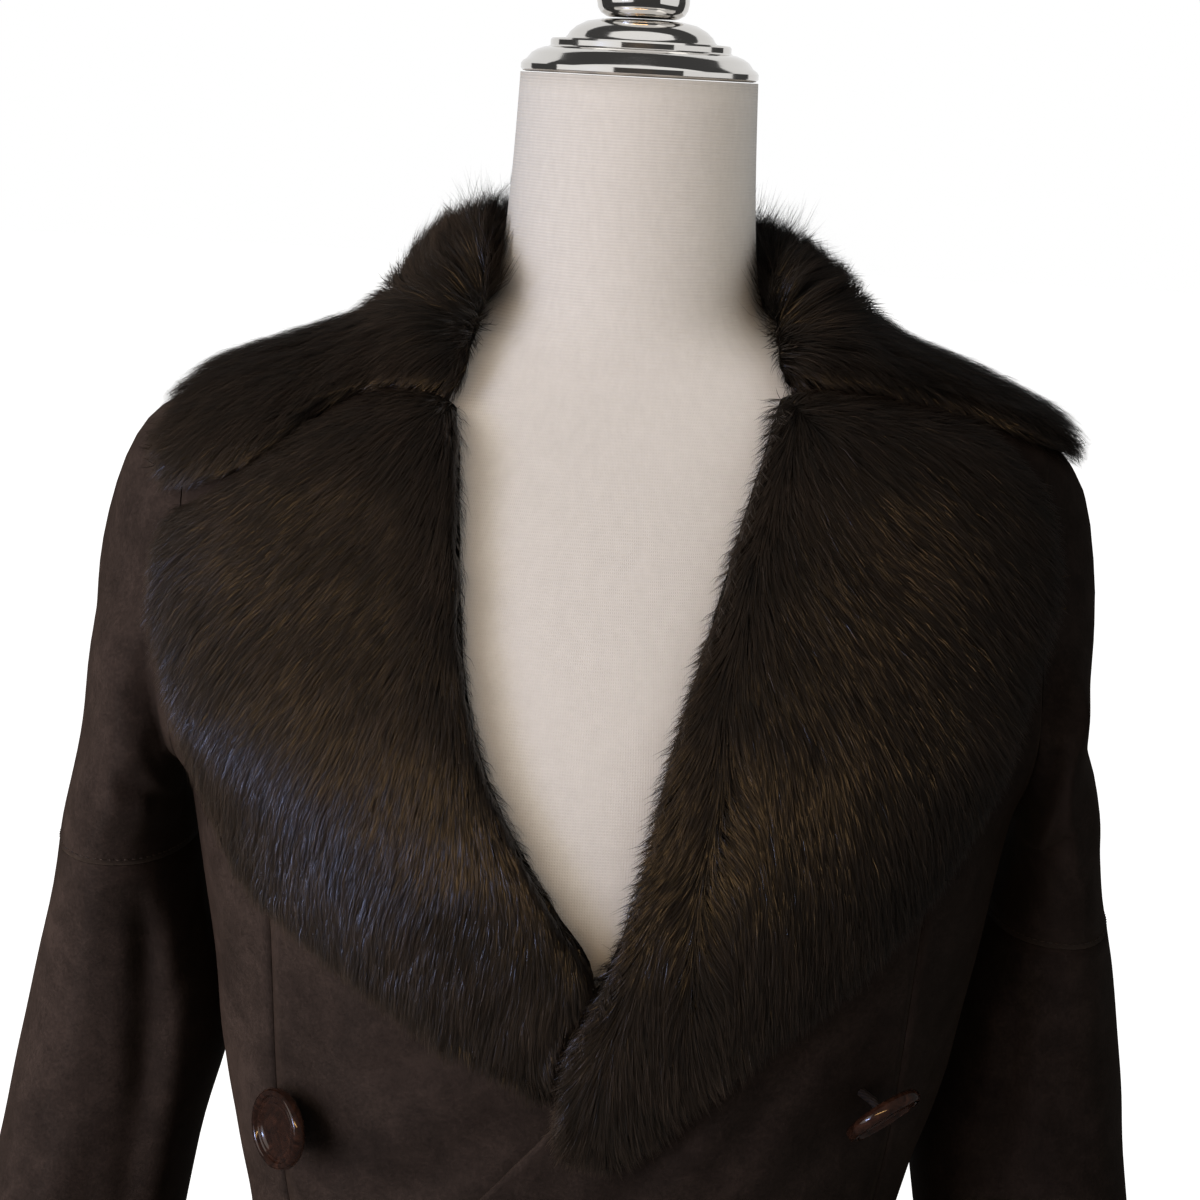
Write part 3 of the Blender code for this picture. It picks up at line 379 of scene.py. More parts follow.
# ---------------------------------------------------------------- materials
def suede_material(settings):
    """Suede: split leather with a short buffed nap, matt, clouded where it has been stroked."""
    made, tree, shader = new_material("Suede")
    place = add_node(tree, "ShaderNodeTexCoord").outputs["Object"]
    clouds = add_node(tree, "ShaderNodeTexNoise", {
        "Vector": place, "Scale": 1 / (70 * MM), "Detail": 5.0, "Roughness": 0.62,
        "Distortion": 0.6}).outputs["Fac"]
    strokes = add_node(tree, "ShaderNodeTexNoise", {
        "Vector": place, "Scale": 1 / (14 * MM), "Detail": 6.0, "Roughness": 0.7,
        "Distortion": 0.4}).outputs["Fac"]
    nap = add_node(tree, "ShaderNodeTexNoise", {
        "Vector": place, "Scale": 1 / (1.6 * MM), "Detail": 3.0, "Roughness": 0.7}).outputs["Fac"]
    both = add_node(tree, "ShaderNodeMath", {0: clouds, 1: strokes}, operation="ADD").outputs[0]
    mixed = add_node(tree, "ShaderNodeMath", {0: both, 1: nap}, operation="ADD").outputs[0]
    third = add_node(tree, "ShaderNodeMath", {0: mixed, 1: 1 / 3}, operation="MULTIPLY").outputs[0]
    colour = tuple(settings.suede)
    tree.links.new(
        ramp(tree, third, (0.40, shade(colour, 0.60)), (0.50, shade(colour, 1.0)),
             (0.60, shade(colour, 1.60))), shader.inputs["Base Color"])
    shader.inputs["Roughness"].default_value = 0.92
    shader.inputs["Specular IOR Level"].default_value = 0.08
    shader.inputs["Sheen Weight"].default_value = 0.06
    shader.inputs["Sheen Roughness"].default_value = 0.45
    shader.inputs["Sheen Tint"].default_value = linear("#8a7a6c")
    # The nap is half a millimetre long, drawn three times as coarse so that it shows.
    bump = add_node(tree, "ShaderNodeBump", {
        "Strength": 0.35, "Distance": 0.5 * MM, "Height": mixed})
    tree.links.new(bump.outputs["Normal"], shader.inputs["Normal"])
    return made


def fur_material(settings):
    """Rabbit fur: dense matt underfur near the skin under long glossy guard hairs."""
    made, tree, shader = new_material("Rabbit fur")
    tone = add_node(tree, "ShaderNodeAttribute", attribute_name="tone").outputs["Fac"]
    root, tip = tuple(settings.hair_root), tuple(settings.hair_tip)
    tree.links.new(
        ramp(tree, tone, (0.0, shade(root, 0.7)), (0.35, shade(root, 1.5)),
             (0.70, shade(tip, 0.85)), (1.0, shade(tip, 1.9))), shader.inputs["Base Color"])
    shader.inputs["Roughness"].default_value = 0.30
    shader.inputs["Specular IOR Level"].default_value = 0.50
    return made


def underfur_material(settings):
    """Underfur: short, dense and nearly black between the guard hairs."""
    made, tree, shader = new_material("Underfur")
    place = add_node(tree, "ShaderNodeTexCoord").outputs["Object"]
    tufts = add_node(tree, "ShaderNodeTexNoise", {
        "Vector": place, "Scale": 1 / (5 * MM), "Detail": 6.0, "Roughness": 0.75}).outputs["Fac"]
    root = tuple(settings.hair_root)
    tree.links.new(
        ramp(tree, tufts, (0.35, shade(root, 0.6)), (0.65, shade(root, 1.6))),
        shader.inputs["Base Color"])
    shader.inputs["Roughness"].default_value = 1.0
    shader.inputs["Specular IOR Level"].default_value = 0.05
    bump = add_node(tree, "ShaderNodeBump", {
        "Strength": 0.9, "Distance": 2 * MM, "Height": tufts})
    tree.links.new(bump.outputs["Normal"], shader.inputs["Normal"])
    return made


def resin_material(settings):
    """Polyester resin: cast, turned and tumbled to a gloss, with faint streaks in the brown."""
    made, tree, shader = new_material("Polyester resin")
    place = add_node(tree, "ShaderNodeTexCoord").outputs["Object"]
    streaks = add_node(tree, "ShaderNodeTexNoise", {
        "Vector": place, "Scale": 1 / (7 * MM), "Detail": 4.0, "Roughness": 0.6,
        "Distortion": 1.8}).outputs["Fac"]
    colour = tuple(settings.resin)
    tree.links.new(
        ramp(tree, streaks, (0.35, shade(colour, 0.45)), (0.55, shade(colour, 1.0)),
             (0.72, shade(colour, 1.9))), shader.inputs["Base Color"])
    shader.inputs["Roughness"].default_value = 0.16
    shader.inputs["IOR"].default_value = 1.55
    shader.inputs["Coat Weight"].default_value = 0.6
    shader.inputs["Coat Roughness"].default_value = 0.06
    return made


def thread_material():
    """Button thread: twisted polyester, waxed, dull brown."""
    made, tree, shader = new_material("Button thread")
    place = add_node(tree, "ShaderNodeTexCoord").outputs["Object"]
    twist = add_node(tree, "ShaderNodeTexWave", {
        "Vector": place, "Scale": 1 / (3 * MM), "Distortion": 2.0},
        bands_direction="DIAGONAL").outputs["Fac"]
    tree.links.new(
        ramp(tree, twist, (0.2, linear("#0f0b09")), (0.8, linear("#1f1712"))),
        shader.inputs["Base Color"])
    shader.inputs["Roughness"].default_value = 0.75
    bump = add_node(tree, "ShaderNodeBump", {
        "Strength": 0.6, "Distance": 0.2 * MM, "Height": twist})
    tree.links.new(bump.outputs["Normal"], shader.inputs["Normal"])
    return made


def linen_material(settings):
    """Linen cover: plain woven, drawn tight over padding, warm off-white and faintly slubbed."""
    made, tree, shader = new_material("Linen")
    cloth = add_node(tree, "ShaderNodeUVMap", uv_map="cloth").outputs["UV"]
    place = add_node(tree, "ShaderNodeTexCoord").outputs["Object"]
    split = add_node(tree, "ShaderNodeSeparateXYZ", {"Vector": cloth})
    # The threads are 0.5 mm apart, drawn at 1.3 mm so that the weave shows.
    turns = 2 * math.pi / (1.3 * MM)
    threads = []
    for axis in ("X", "Y"):
        angle = add_node(tree, "ShaderNodeMath", {
            0: split.outputs[axis], 1: turns}, operation="MULTIPLY").outputs[0]
        threads.append(add_node(tree, "ShaderNodeMath", {0: angle}, operation="SINE").outputs[0])
    weave = add_node(tree, "ShaderNodeMath", {
        0: threads[0], 1: threads[1]}, operation="MAXIMUM").outputs[0]
    slubs = add_node(tree, "ShaderNodeTexNoise", {
        "Vector": cloth, "Scale": 1 / (9 * MM), "Detail": 5.0, "Roughness": 0.7}).outputs["Fac"]
    shading = add_node(tree, "ShaderNodeTexNoise", {
        "Vector": place, "Scale": 1 / (160 * MM), "Detail": 3.0}).outputs["Fac"]
    clouded = add_node(tree, "ShaderNodeMath", {0: slubs, 1: shading}, operation="ADD").outputs[0]
    faint = add_node(tree, "ShaderNodeMath", {0: weave, 1: 0.07}, operation="MULTIPLY").outputs[0]
    both = add_node(tree, "ShaderNodeMath", {0: clouded, 1: faint}, operation="ADD").outputs[0]
    half = add_node(tree, "ShaderNodeMath", {0: both, 1: 0.5}, operation="MULTIPLY").outputs[0]
    colour = tuple(settings.linen)
    tree.links.new(
        ramp(tree, half, (0.35, shade(colour, 0.93)), (0.65, shade(colour, 1.05))),
        shader.inputs["Base Color"])
    shader.inputs["Roughness"].default_value = 0.9
    shader.inputs["Specular IOR Level"].default_value = 0.25
    bump = add_node(tree, "ShaderNodeBump", {
        "Strength": 0.4, "Distance": 0.25 * MM, "Height": weave})
    tree.links.new(bump.outputs["Normal"], shader.inputs["Normal"])
    return made


def chrome_material():
    """Chrome plate: turned steel, nickelled and chromed, with the faintest polishing haze."""
    made, tree, shader = new_material("Chrome plate")
    place = add_node(tree, "ShaderNodeTexCoord").outputs["Object"]
    haze = add_node(tree, "ShaderNodeTexNoise", {
        "Vector": place, "Scale": 1 / (20 * MM), "Detail": 4.0}).outputs["Fac"]
    rough = add_node(tree, "ShaderNodeMapRange", {
        "Value": haze, "From Min": 0.35, "From Max": 0.65, "To Min": 0.05, "To Max": 0.12})
    tree.links.new(rough.outputs["Result"], shader.inputs["Roughness"])
    shader.inputs["Base Color"].default_value = linear("#d6d3cf")
    shader.inputs["Metallic"].default_value = 1.0
    return made


def floor_material():
    """Painted studio floor: matt, pale and slightly glowing, so that it meets the backdrop."""
    made, tree, shader = new_material("Studio floor")
    shader.inputs["Base Color"].default_value = linear("#f2f1ef")
    shader.inputs["Roughness"].default_value = 0.95
    shader.inputs["Specular IOR Level"].default_value = 0.1
    path = add_node(tree, "ShaderNodeLightPath")
    strength = add_node(tree, "ShaderNodeMath", {
        0: path.outputs["Is Camera Ray"], 1: 0.72}, operation="MULTIPLY").outputs[0]
    glow = add_node(tree, "ShaderNodeEmission", {"Color": linear("#ffffff"), "Strength": strength})
    total = add_node(tree, "ShaderNodeAddShader", {0: shader.outputs[0], 1: glow.outputs[0]})
    # Like the room, the floor is dim where it is mirrored.
    dim = add_node(tree, "ShaderNodeEmission", {"Color": linear("#ffffff"), "Strength": 0.05})
    shown = add_node(tree, "ShaderNodeMixShader", {
        "Fac": path.outputs["Is Glossy Ray"], 1: total.outputs[0], 2: dim.outputs[0]})
    tree.links.new(shown.outputs[0], tree.nodes["Material Output"].inputs["Surface"])
    return made


# ---------------------------------------------------------------- skins
def finer_copy(node, name, levels):
    """A merged, quad-faced and subdivided copy of a frame piece. Its cut edges stay sharp."""
    mesh = frame["nodes"][node].data.copy()
    obj = add_object(name, mesh)
    only(obj)
    bpy.ops.object.mode_set(mode="EDIT")
    bpy.ops.mesh.select_all(action="SELECT")
    bpy.ops.mesh.remove_doubles(threshold=MERGE)
    bpy.ops.mesh.tris_convert_to_quads(
        face_threshold=math.radians(30), shape_threshold=math.radians(75))
    bpy.ops.object.mode_set(mode="OBJECT")
    cut = bmesh.new()
    cut.from_mesh(mesh)
    crease = cut.edges.layers.float.new("crease_edge")
    for edge in cut.edges:
        if len(edge.link_faces) == 2 and edge.calc_face_angle() > CUT_EDGE:
            edge[crease] = 1.0
    cut.to_mesh(mesh)
    cut.free()
    finer = obj.modifiers.new("Finer", "SUBSURF")
    finer.levels = finer.render_levels = levels
    # The smoothed surface is moved back on to the frame's own points.
    goal = positions(mesh)
    for _ in range(SETTLE_ROUNDS):
        smoothed = obj.evaluated_get(bpy.context.evaluated_depsgraph_get()).data
        reached = positions(smoothed)[: len(goal)]
        set_positions(mesh, positions(mesh) + SETTLE_STEP * (goal - reached))
    bpy.ops.object.modifier_apply(modifier=finer.name)
    return obj


def crease_pull(points, crease, start, end, outward):
    """How far each point moves for one crease: a soft trough that fades out at both ends."""
    run = end - start
    along = np.clip((points - start) @ run / (run @ run), 0, 1)
    gap = np.linalg.norm(points - (start + along[:, None] * run), axis=1)
    width = crease.width_mm * MM
    fade = np.sin(np.pi * np.clip(along * 0.9 + 0.05, 0, 1)) ** 0.6
    trough = np.exp(-((gap / width) ** 2)) - 0.45 * np.exp(-(((gap - 1.7 * width) / width) ** 2))
    return -(crease.depth_mm * MM * fade * trough)[:, None] * outward


def outward_of(points, axis):
    """Level directions away from a piece's own upright axis, (x, y) at each height."""
    flat = points.copy()
    flat[:, 0] -= np.interp(points[:, 2], axis[:, 2], axis[:, 0])
    flat[:, 1] -= np.interp(points[:, 2], axis[:, 2], axis[:, 1])
    flat[:, 2] = 0
    return unit(flat)


def axis_of(node, points):
    """The line down the middle of a sleeve, or the coat's own upright axis."""
    if not node.startswith("sleeve"):
        return np.array([[0, 0, 0.0], [0, 0, 2.0]])
    heights = np.linspace(points[:, 2].min(), points[:, 2].max(), 8)
    rows = []
    for z in heights:
        near = points[np.abs(points[:, 2] - z) < 0.03]
        middle = (near.min(axis=0) + near.max(axis=0)) / 2
        rows.append([middle[0], middle[1], z])
    return np.array(rows)


def soft_noise(points, size, seed):
    """Smooth noise between -1 and 1, as a sum of waves about size metres long."""
    rng = np.random.default_rng(seed)
    total = np.zeros(len(points))
    for _ in range(6):
        way = unit(rng.normal(size=3)) * 2 * np.pi / (size * rng.uniform(0.8, 1.7))
        total += np.sin(points @ way + rng.uniform(0, 2 * np.pi))
    return total / 3.2


def drape(obj, node):
    """Moves a skin's points for its creases and for the unevenness of real skin."""
    points = positions(obj.data)
    outward = outward_of(points, axis_of(node, points))
    tree = tree_of(obj)
    moved = np.zeros_like(points)
    for crease in CREASES.get(node, []):
        side = 1 if crease.behind else -1
        ends = []
        for x, z in ((crease.x1, crease.z1), (crease.x2, crease.z2)):
            hit = tree.ray_cast(Vector((x, side * 0.5, z)), Vector((0, -side, 0)))[0]
            if hit is None:
                raise RuntimeError(f"a crease of {node} misses it at x {x}, z {z}")
            ends.append(np.array(hit))
        moved += crease_pull(points, crease, ends[0], ends[1], outward)
    # Real skin is uneven by about half a millimetre.
    moved += outward * (0.5 * MM * soft_noise(points, 0.055, 5))[:, None]
    # The cut edges stay where they are sewn.
    rim = rim_points(frame["nodes"][node].data)
    away = distance_to(points, rim)[0]
    hold = np.clip((away - 2 * MM) / (14 * MM), 0, 1)
    set_positions(obj.data, points + moved * hold[:, None])


def rim_points(mesh):
    """Points every few millimetres along the sharp cut edges of a frame piece."""
    cut = bmesh.new()
    cut.from_mesh(mesh)
    bmesh.ops.remove_doubles(cut, verts=cut.verts, dist=MERGE)
    points = []
    for edge in cut.edges:
        if len(edge.link_faces) == 2 and edge.calc_face_angle() > CUT_EDGE:
            a, b = (np.array(v.co) for v in edge.verts)
            steps = max(2, int(np.linalg.norm(b - a) / (4 * MM)))
            points += [a + (b - a) * k / steps for k in range(steps + 1)]
    cut.free()
    return np.array(points)


def distance_to(points, targets):
    """The distance to the nearest target and that target's number, for each point."""
    gaps, which = np.empty(len(points)), np.empty(len(points), dtype=int)
    for start in range(0, len(points), 4000):
        part = points[start : start + 4000]
        squared = (
            (part**2).sum(1)[:, None] + (targets**2).sum(1)[None, :] - 2 * part @ targets.T)
        which[start : start + 4000] = squared.argmin(1)
        gaps[start : start + 4000] = np.sqrt(np.maximum(squared.min(1), 0))
    return gaps, which


class COAT_OT_suede(bpy.types.Operator):
    """Makes every suede skin from its frame piece, with its creases"""

    bl_idname = "coat.suede"
    bl_label = "Suede Skins"

    def execute(self, context):
        suede = suede_material(context.scene.coat)
        for cut in SUEDE_CUTS:
            skin = finer_copy(cut.node, f"{cut.node}_skin", 2)
            drape(skin, cut.node)
            finish_piece(skin, suede, 50)
            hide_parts(cut.node)
        return {"FINISHED"}


# ---------------------------------------------------------------- stitching
def stitch_row(name, path, material, length=2.6 * MM, pitch=3.6 * MM, width=0.55 * MM):
    """A row of lockstitches along a path of (point, normal): short bars that sit in the skin."""
    spots, lifts = (np.array([list(p[k]) for p in path]) for k in (0, 1))
    run = np.concatenate([[0], np.cumsum(np.linalg.norm(np.diff(spots, axis=0), axis=1))])
    starts = np.arange(pitch / 2, run[-1] - length, pitch)
    vertices, faces = [], []
    for s in starts:
        # The ends of a stitch sink into the skin and its middle stands off it, in millimetres.
        for k, (at, rise) in enumerate(((s, -0.10), (s + length / 2, 0.22), (s + length, -0.10))):
            centre = np.array([np.interp(at, run, spots[:, i]) for i in range(3)])
            up = unit(np.array([np.interp(at, run, lifts[:, i]) for i in range(3)]))
            ahead = unit(np.array([
                np.interp(at + 0.5 * MM, run, spots[:, i]) - centre[i] for i in range(3)]))
            across = unit(np.cross(ahead, up))
            for turn in range(4):
                a = math.pi / 4 + turn * math.pi / 2
                vertices.append(centre + up * (rise * MM + math.sin(a) * width / 2)
                                + across * math.cos(a) * width / 2)
            if k:
                base = len(vertices) - 8
                for turn in range(4):
                    n = (turn + 1) % 4
                    faces.append((base + turn, base + n, base + 4 + n, base + 4 + turn))
        last = len(vertices)
        faces.append((last - 12, last - 9, last - 10, last - 11))
        faces.append((last - 4, last - 3, last - 2, last - 1))
    mesh = bpy.data.meshes.new(name)
    mesh.from_pydata([tuple(v) for v in vertices], [], faces)
    obj = add_object(name, mesh)
    finish_piece(obj, material)
    return obj


def round_path(skin, z, steps=120):
    """Points and normals round a sleeve at one height, found from outside."""
    points = positions(skin.data)
    near = points[np.abs(points[:, 2] - z) < 0.02]
    middle = (near.min(axis=0) + near.max(axis=0)) / 2
    tree = tree_of(skin)
    path = []
    for k in range(steps + 1):
        a = 2 * math.pi * k / steps
        out = Vector((math.cos(a), math.sin(a), 0))
        hit, normal, _, _ = tree.ray_cast(Vector((*middle[:2], z)) + out * 0.2, -out)
        if hit is not None:
            path.append((hit, normal))
    return path


class COAT_OT_stitching(bpy.types.Operator):
    """Sews the topstitching beside each sleeve's cross seam"""

    bl_idname = "coat.stitching"
    bl_label = "Topstitching"

    def execute(self, context):
        thread = thread_material()
        for side in ("left", "right"):
            skin = bpy.data.objects[f"sleeve_upper_{side}_skin"]
            seam_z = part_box(f"sleeve_upper_{side}")[0][2]
            path = round_path(skin, seam_z + 3.5 * MM)
            stitch_row(f"cross_seam_stitches_{side}", path, thread)
        return {"FINISHED"}


# ---------------------------------------------------------------- fur
def surface_samples(mesh, count, keep, rng):
    """Random points of a mesh with their normals, by area, on the faces that keep allows."""
    mesh.calc_loop_triangles()
    corners = np.empty(3 * len(mesh.loop_triangles), dtype=np.int32)
    mesh.loop_triangles.foreach_get("vertices", corners)
    corners = corners.reshape(-1, 3)
    points, normals = positions(mesh), directions(mesh)
    a, b, c = (points[corners[:, k]] for k in range(3))
    areas = np.linalg.norm(np.cross(b - a, c - a), axis=1) / 2
    areas *= keep[corners].mean(axis=1)
    chosen = rng.choice(len(areas), size=count, p=areas / areas.sum())
    u, v = rng.random(count), rng.random(count)
    over = u + v > 1
    u[over], v[over] = 1 - u[over], 1 - v[over]
    weights = np.stack([1 - u - v, u, v], axis=1)[:, :, None]
    corner = corners[chosen]
    return (points[corner] * weights).sum(1), unit((normals[corner] * weights).sum(1))


def nearest_on(tree, points):
    """The nearest place on a surface and its normal, for each point."""
    spots, ups = np.empty_like(points), np.empty_like(points)
    for k, p in enumerate(points):
        spot, up, _, _ = tree.find_nearest(Vector(p))
        spots[k], ups[k] = spot, up
    return spots, ups


def shrink_to_underfur(obj, cloth_tree, share):
    """Lowers a fur piece's outer face towards the skin, and returns how much fur lies there."""
    points, normals = positions(obj.data), directions(obj.data)
    spots, _ = nearest_on(cloth_tree, points)
    depth = np.linalg.norm(points - spots, axis=1)
    outer = np.clip((depth - 2.2 * MM) / (3 * MM), 0, 1)
    sink = np.minimum(depth - 1.5 * MM, 14 * MM) * (1 - share) * outer
    lumps = 0.7 * MM * soft_noise(points, 0.012, 3) * outer
    set_positions(obj.data, points - normals * (sink - lumps)[:, None])
    return outer


def stand_share(points):
    """How far each point of the collar belongs to its stand at the neck, 0 to 1."""
    return np.clip((points[:, 2] - STAND_Z) / STAND_RISE, 0, 1)


def hair_flow(points, normals, hair, rim):
    """Which way the hairs lie: down on the lapels, away from the neck on the collar."""
    from_neck = points.copy()
    from_neck[:, 2] = 0
    from_neck = unit(from_neck)
    side = np.sign(points[:, :1])
    flow = hair.radial * from_neck + hair.down * np.array([[0, 0, -1.0]])
    if hair.radial < 0.5:
        # High on a lapel the hair leans away from the middle, less so near the rolled edge.
        high = np.clip((points[:, 2:3] - 1.18) / 0.12, 0, 1)
        outside = np.clip((np.abs(points[:, :1]) - 0.04) / 0.07, 0.25, 1)
        flow += np.hstack([side, 0 * side, 0 * side]) * (0.08 + 0.85 * high**1.2 * outside)
    else:
        # It falls over the collar's ends, and is combed up on the stand.
        ahead = np.clip((-points[:, 1:2] - 0.02) / 0.05, 0, 1)
        stand = stand_share(points)[:, None]
        flow += np.array([[0, 0, -1.0]]) * 0.55 * ahead * (1 - stand)
        flow += np.array([[0, 0, 1.0]]) * 1.5 * stand
    gaps, which = distance_to(points, rim)
    to_rim = unit(rim[which] - points)
    near = np.exp(-((gaps / (13 * MM)) ** 2))[:, None]
    flow += hair.edge_pull * near * to_rim
    swirl = np.stack([soft_noise(points, 0.050, hair.seed + k) for k in range(3)], axis=1)
    tufts = np.stack([soft_noise(points, 0.013, hair.seed + 20 + k) for k in range(3)], axis=1)
    flow += 0.12 * swirl + 0.05 * tufts
    # The hair turns away on both sides of the parting.
    start, end = (np.array(p) for p in PARTING)
    run = end - start
    along = np.clip((points - start) @ run / (run @ run), 0, 1)
    off = points - (start + along[:, None] * run)
    off[:, 2] = 0
    beside = np.linalg.norm(off, axis=1, keepdims=True)
    flow += 1.1 * np.exp(-((beside / PARTING_REACH) ** 2)) * unit(off)
    flow -= normals * (flow * normals).sum(1, keepdims=True)
    return unit(flow), gaps


def hair_mesh(name, roots, middles, tips, width, roll, tone):
    """Joined tapering hairs, three triangles each, with the attribute tone from root to tip."""
    count = len(roots)
    along = unit(tips - roots)
    across = unit(np.cross(along, roll)) * width[:, None] / 2
    points = np.stack([roots - across, roots + across, middles - across * 0.85,
                       middles + across * 0.85, tips], axis=1).reshape(-1, 3)
    first = 5 * np.arange(count, dtype=np.int32)[:, None, None]
    faces = (first + np.array([[0, 1, 3], [0, 3, 2], [2, 3, 4]], dtype=np.int32)).reshape(-1)
    mesh = bpy.data.meshes.new(name)
    mesh.vertices.add(len(points))
    mesh.vertices.foreach_set("co", points.astype(np.float32).ravel())
    mesh.loops.add(len(faces))
    mesh.loops.foreach_set("vertex_index", faces)
    mesh.polygons.add(len(faces) // 3)
    mesh.polygons.foreach_set("loop_start", np.arange(0, len(faces), 3, dtype=np.int32))
    mesh.update(calc_edges=True)
    shades = mesh.attributes.new("tone", "FLOAT", "POINT")
    share = np.array([0.10, 0.10, 0.62, 0.62, 1.0])
    values = np.clip(share[None, :] * 0.55 + tone[:, None], 0, 1)
    shades.data.foreach_set("value", values.astype(np.float32).ravel())
    return add_object(name, mesh)


def comb(name, skin, keep, hair, rim, settings, half=None):
    """Grows and combs the hairs of one fur piece. half keeps the wearer's left or right."""
    rng = np.random.default_rng(hair.seed)
    allowed = keep.copy()
    if half:
        allowed *= (positions(skin.data)[:, 0] * half > 0).astype(float)
    roots, ups = surface_samples(skin.data, hair.hairs, allowed, rng)
    flow, gaps = hair_flow(roots, ups, hair, rim)
    length = settings.hair_length * rng.uniform(*HAIR_LENGTHS, hair.hairs)
    stand = stand_share(roots) if hair.radial > 0.5 else 0 * gaps
    length *= 0.50 + 0.50 * np.maximum(np.clip(gaps / SHORT_RUN, 0, 1), stand)
    length *= 1 + 0.35 * stand
    lift = np.radians(
        rng.normal(HAIR_ANGLE, HAIR_ANGLE_SPREAD, hair.hairs) + STAND_ANGLE * stand)
    # Hairs gather into locks: each leans to the tip of the nearest of a set of chosen hairs.
    leaders = rng.choice(hair.hairs, size=hair.hairs // LOCK_HAIRS, replace=False)
    _, mine = distance_to(roots, roots[leaders])
    mine = leaders[mine]
    reach = (np.cos(lift) * length)[:, None] * flow + (np.sin(lift) * length)[:, None] * ups
    tips = roots + reach
    gather = rng.uniform(0.05, 0.26, hair.hairs)[:, None] + 0.2 * stand[:, None]
    tips = tips + gather * (tips[mine] - tips)
    tips += rng.normal(0, 0.8 * MM, tips.shape)
    middles = roots + 0.5 * (tips - roots) + ups * (length * 0.10)[:, None]
    tips -= ups * (length * 0.05)[:, None]
    roll = unit(ups + rng.normal(0, 0.20, ups.shape))
    width = settings.hair_width * rng.uniform(*HAIR_WIDTHS, hair.hairs)
    tone = rng.normal(0.22, 0.10, hair.hairs) + 0.06 * soft_noise(roots, 0.03, 9)
    tone += rng.normal(0, 0.04, hair.hairs)[mine]
    return hair_mesh(name, roots, middles, tips, width, roll, tone)


class COAT_OT_fur(bpy.types.Operator):
    """Grows the fur of the lapels and the collar on their skins"""

    bl_idname = "coat.fur"
    bl_label = "Rabbit Fur"

    def execute(self, context):
        settings = context.scene.coat
        fur, underfur = fur_material(settings), underfur_material(settings)
        cloth = tree_of(*(frame["nodes"][cut.node] for cut in SUEDE_CUTS))
        for cut in FUR_CUTS:
            skin = finer_copy(cut.node, f"{cut.node}_skin", 1)
            keep = shrink_to_underfur(skin, cloth, UNDERFUR_SHARE)
            finish_piece(skin, underfur)
            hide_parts(cut.node)
            rim = rim_points(frame["nodes"][cut.node].data)
            pelts = [h for h in FUR if h.node == cut.node]
            for k, hair in enumerate(pelts):
                half = (1, -1)[k] if len(pelts) > 1 else None
                name = f"{cut.node}_fur_{k + 1}"
                piece = comb(name, skin, keep, hair, rim, settings, half)
                finish_piece(piece, fur)
        return {"FINISHED"}


# ---------------------------------------------------------------- turned pieces
def turned_piece(name, outline, steps):
    """Spins an outline of (radius, height) in millimetres round Z into a closed solid."""
    mesh = bpy.data.meshes.new(name)
    points = [(r * MM, 0, z * MM) for r, z in outline]
    mesh.from_pydata(points, [(k, k + 1) for k in range(len(points) - 1)], [])
    obj = add_object(name, mesh)
    only(obj)
    bpy.ops.object.mode_set(mode="EDIT")
    bpy.ops.mesh.select_all(action="SELECT")
    bpy.ops.mesh.spin(steps=steps, angle=2 * math.pi, center=(0, 0, 0), axis=(0, 0, 1))
    bpy.ops.mesh.select_all(action="SELECT")
    bpy.ops.mesh.remove_doubles(threshold=MERGE)
    bpy.ops.mesh.normals_make_consistent(inside=False)
    bpy.ops.object.mode_set(mode="OBJECT")
    return obj


def disc_place(node, shank):
    """Where a button's foot is and which way it faces, from its frame pieces."""
    points = positions(frame["nodes"][node].data)
    middle = points.mean(axis=0)
    _, _, axes = np.linalg.svd(points - middle, full_matrices=False)
    facing = axes[2]
    stem = positions(frame["nodes"][shank].data).mean(axis=0)
    if facing @ (middle - stem) < 0:
        facing = -facing
    heights = (points - middle) @ facing
    return Vector(middle + facing * heights.min()), Vector(facing)


class COAT_OT_buttons(bpy.types.Operator):
    """Turns one button and sews a copy of it at each place"""

    bl_idname = "coat.buttons"
    bl_label = "Buttons"

    def execute(self, context):
        resin, thread = resin_material(context.scene.dress_form), thread_material()
        pattern = turned_piece("button_pattern", BUTTON_OUTLINE, 72)
        for row in ("top", "low"):
            for side in ("left", "right"):
                node = f"button_{row}_{side}"
                shank = f"{node}_shank"
                foot, facing = disc_place(node, shank)
                button = add_object(f"{node}_turned", pattern.data.copy())
                turn = facing.to_track_quat("Z", "Y").to_matrix().to_4x4()
                button.data.transform(Matrix.Translation(foot) @ turn)
                finish_piece(button, resin, 40)
                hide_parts(node)
                paint_frame_piece(shank, thread)
        bpy.data.objects.remove(pattern, do_unlink=True)
        return {"FINISHED"}


class COAT_OT_form(bpy.types.Operator):
    """Covers the dress form with linen"""

    bl_idname = "coat.form"
    bl_label = "Dress Form"

    def execute(self, context):
        body = finer_copy("dress_form", "dress_form_cover", 2)
        points = positions(body.data)
        cloth = body.data.uv_layers.new(name="cloth")
        corners = np.empty(len(body.data.loops), dtype=np.int32)
        body.data.loops.foreach_get("vertex_index", corners)
        azimuth = np.arctan2(points[:, 0], -points[:, 1])[corners]
        # The threads run round and up.
        flat = np.stack([azimuth * LINEN_RADIUS, points[corners, 2]], axis=1)
        cloth.data.foreach_set("uv", flat.astype(np.float32).ravel())
        finish_piece(body, linen_material(context.scene.dress_form), 50)
        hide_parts("dress_form")
        return {"FINISHED"}


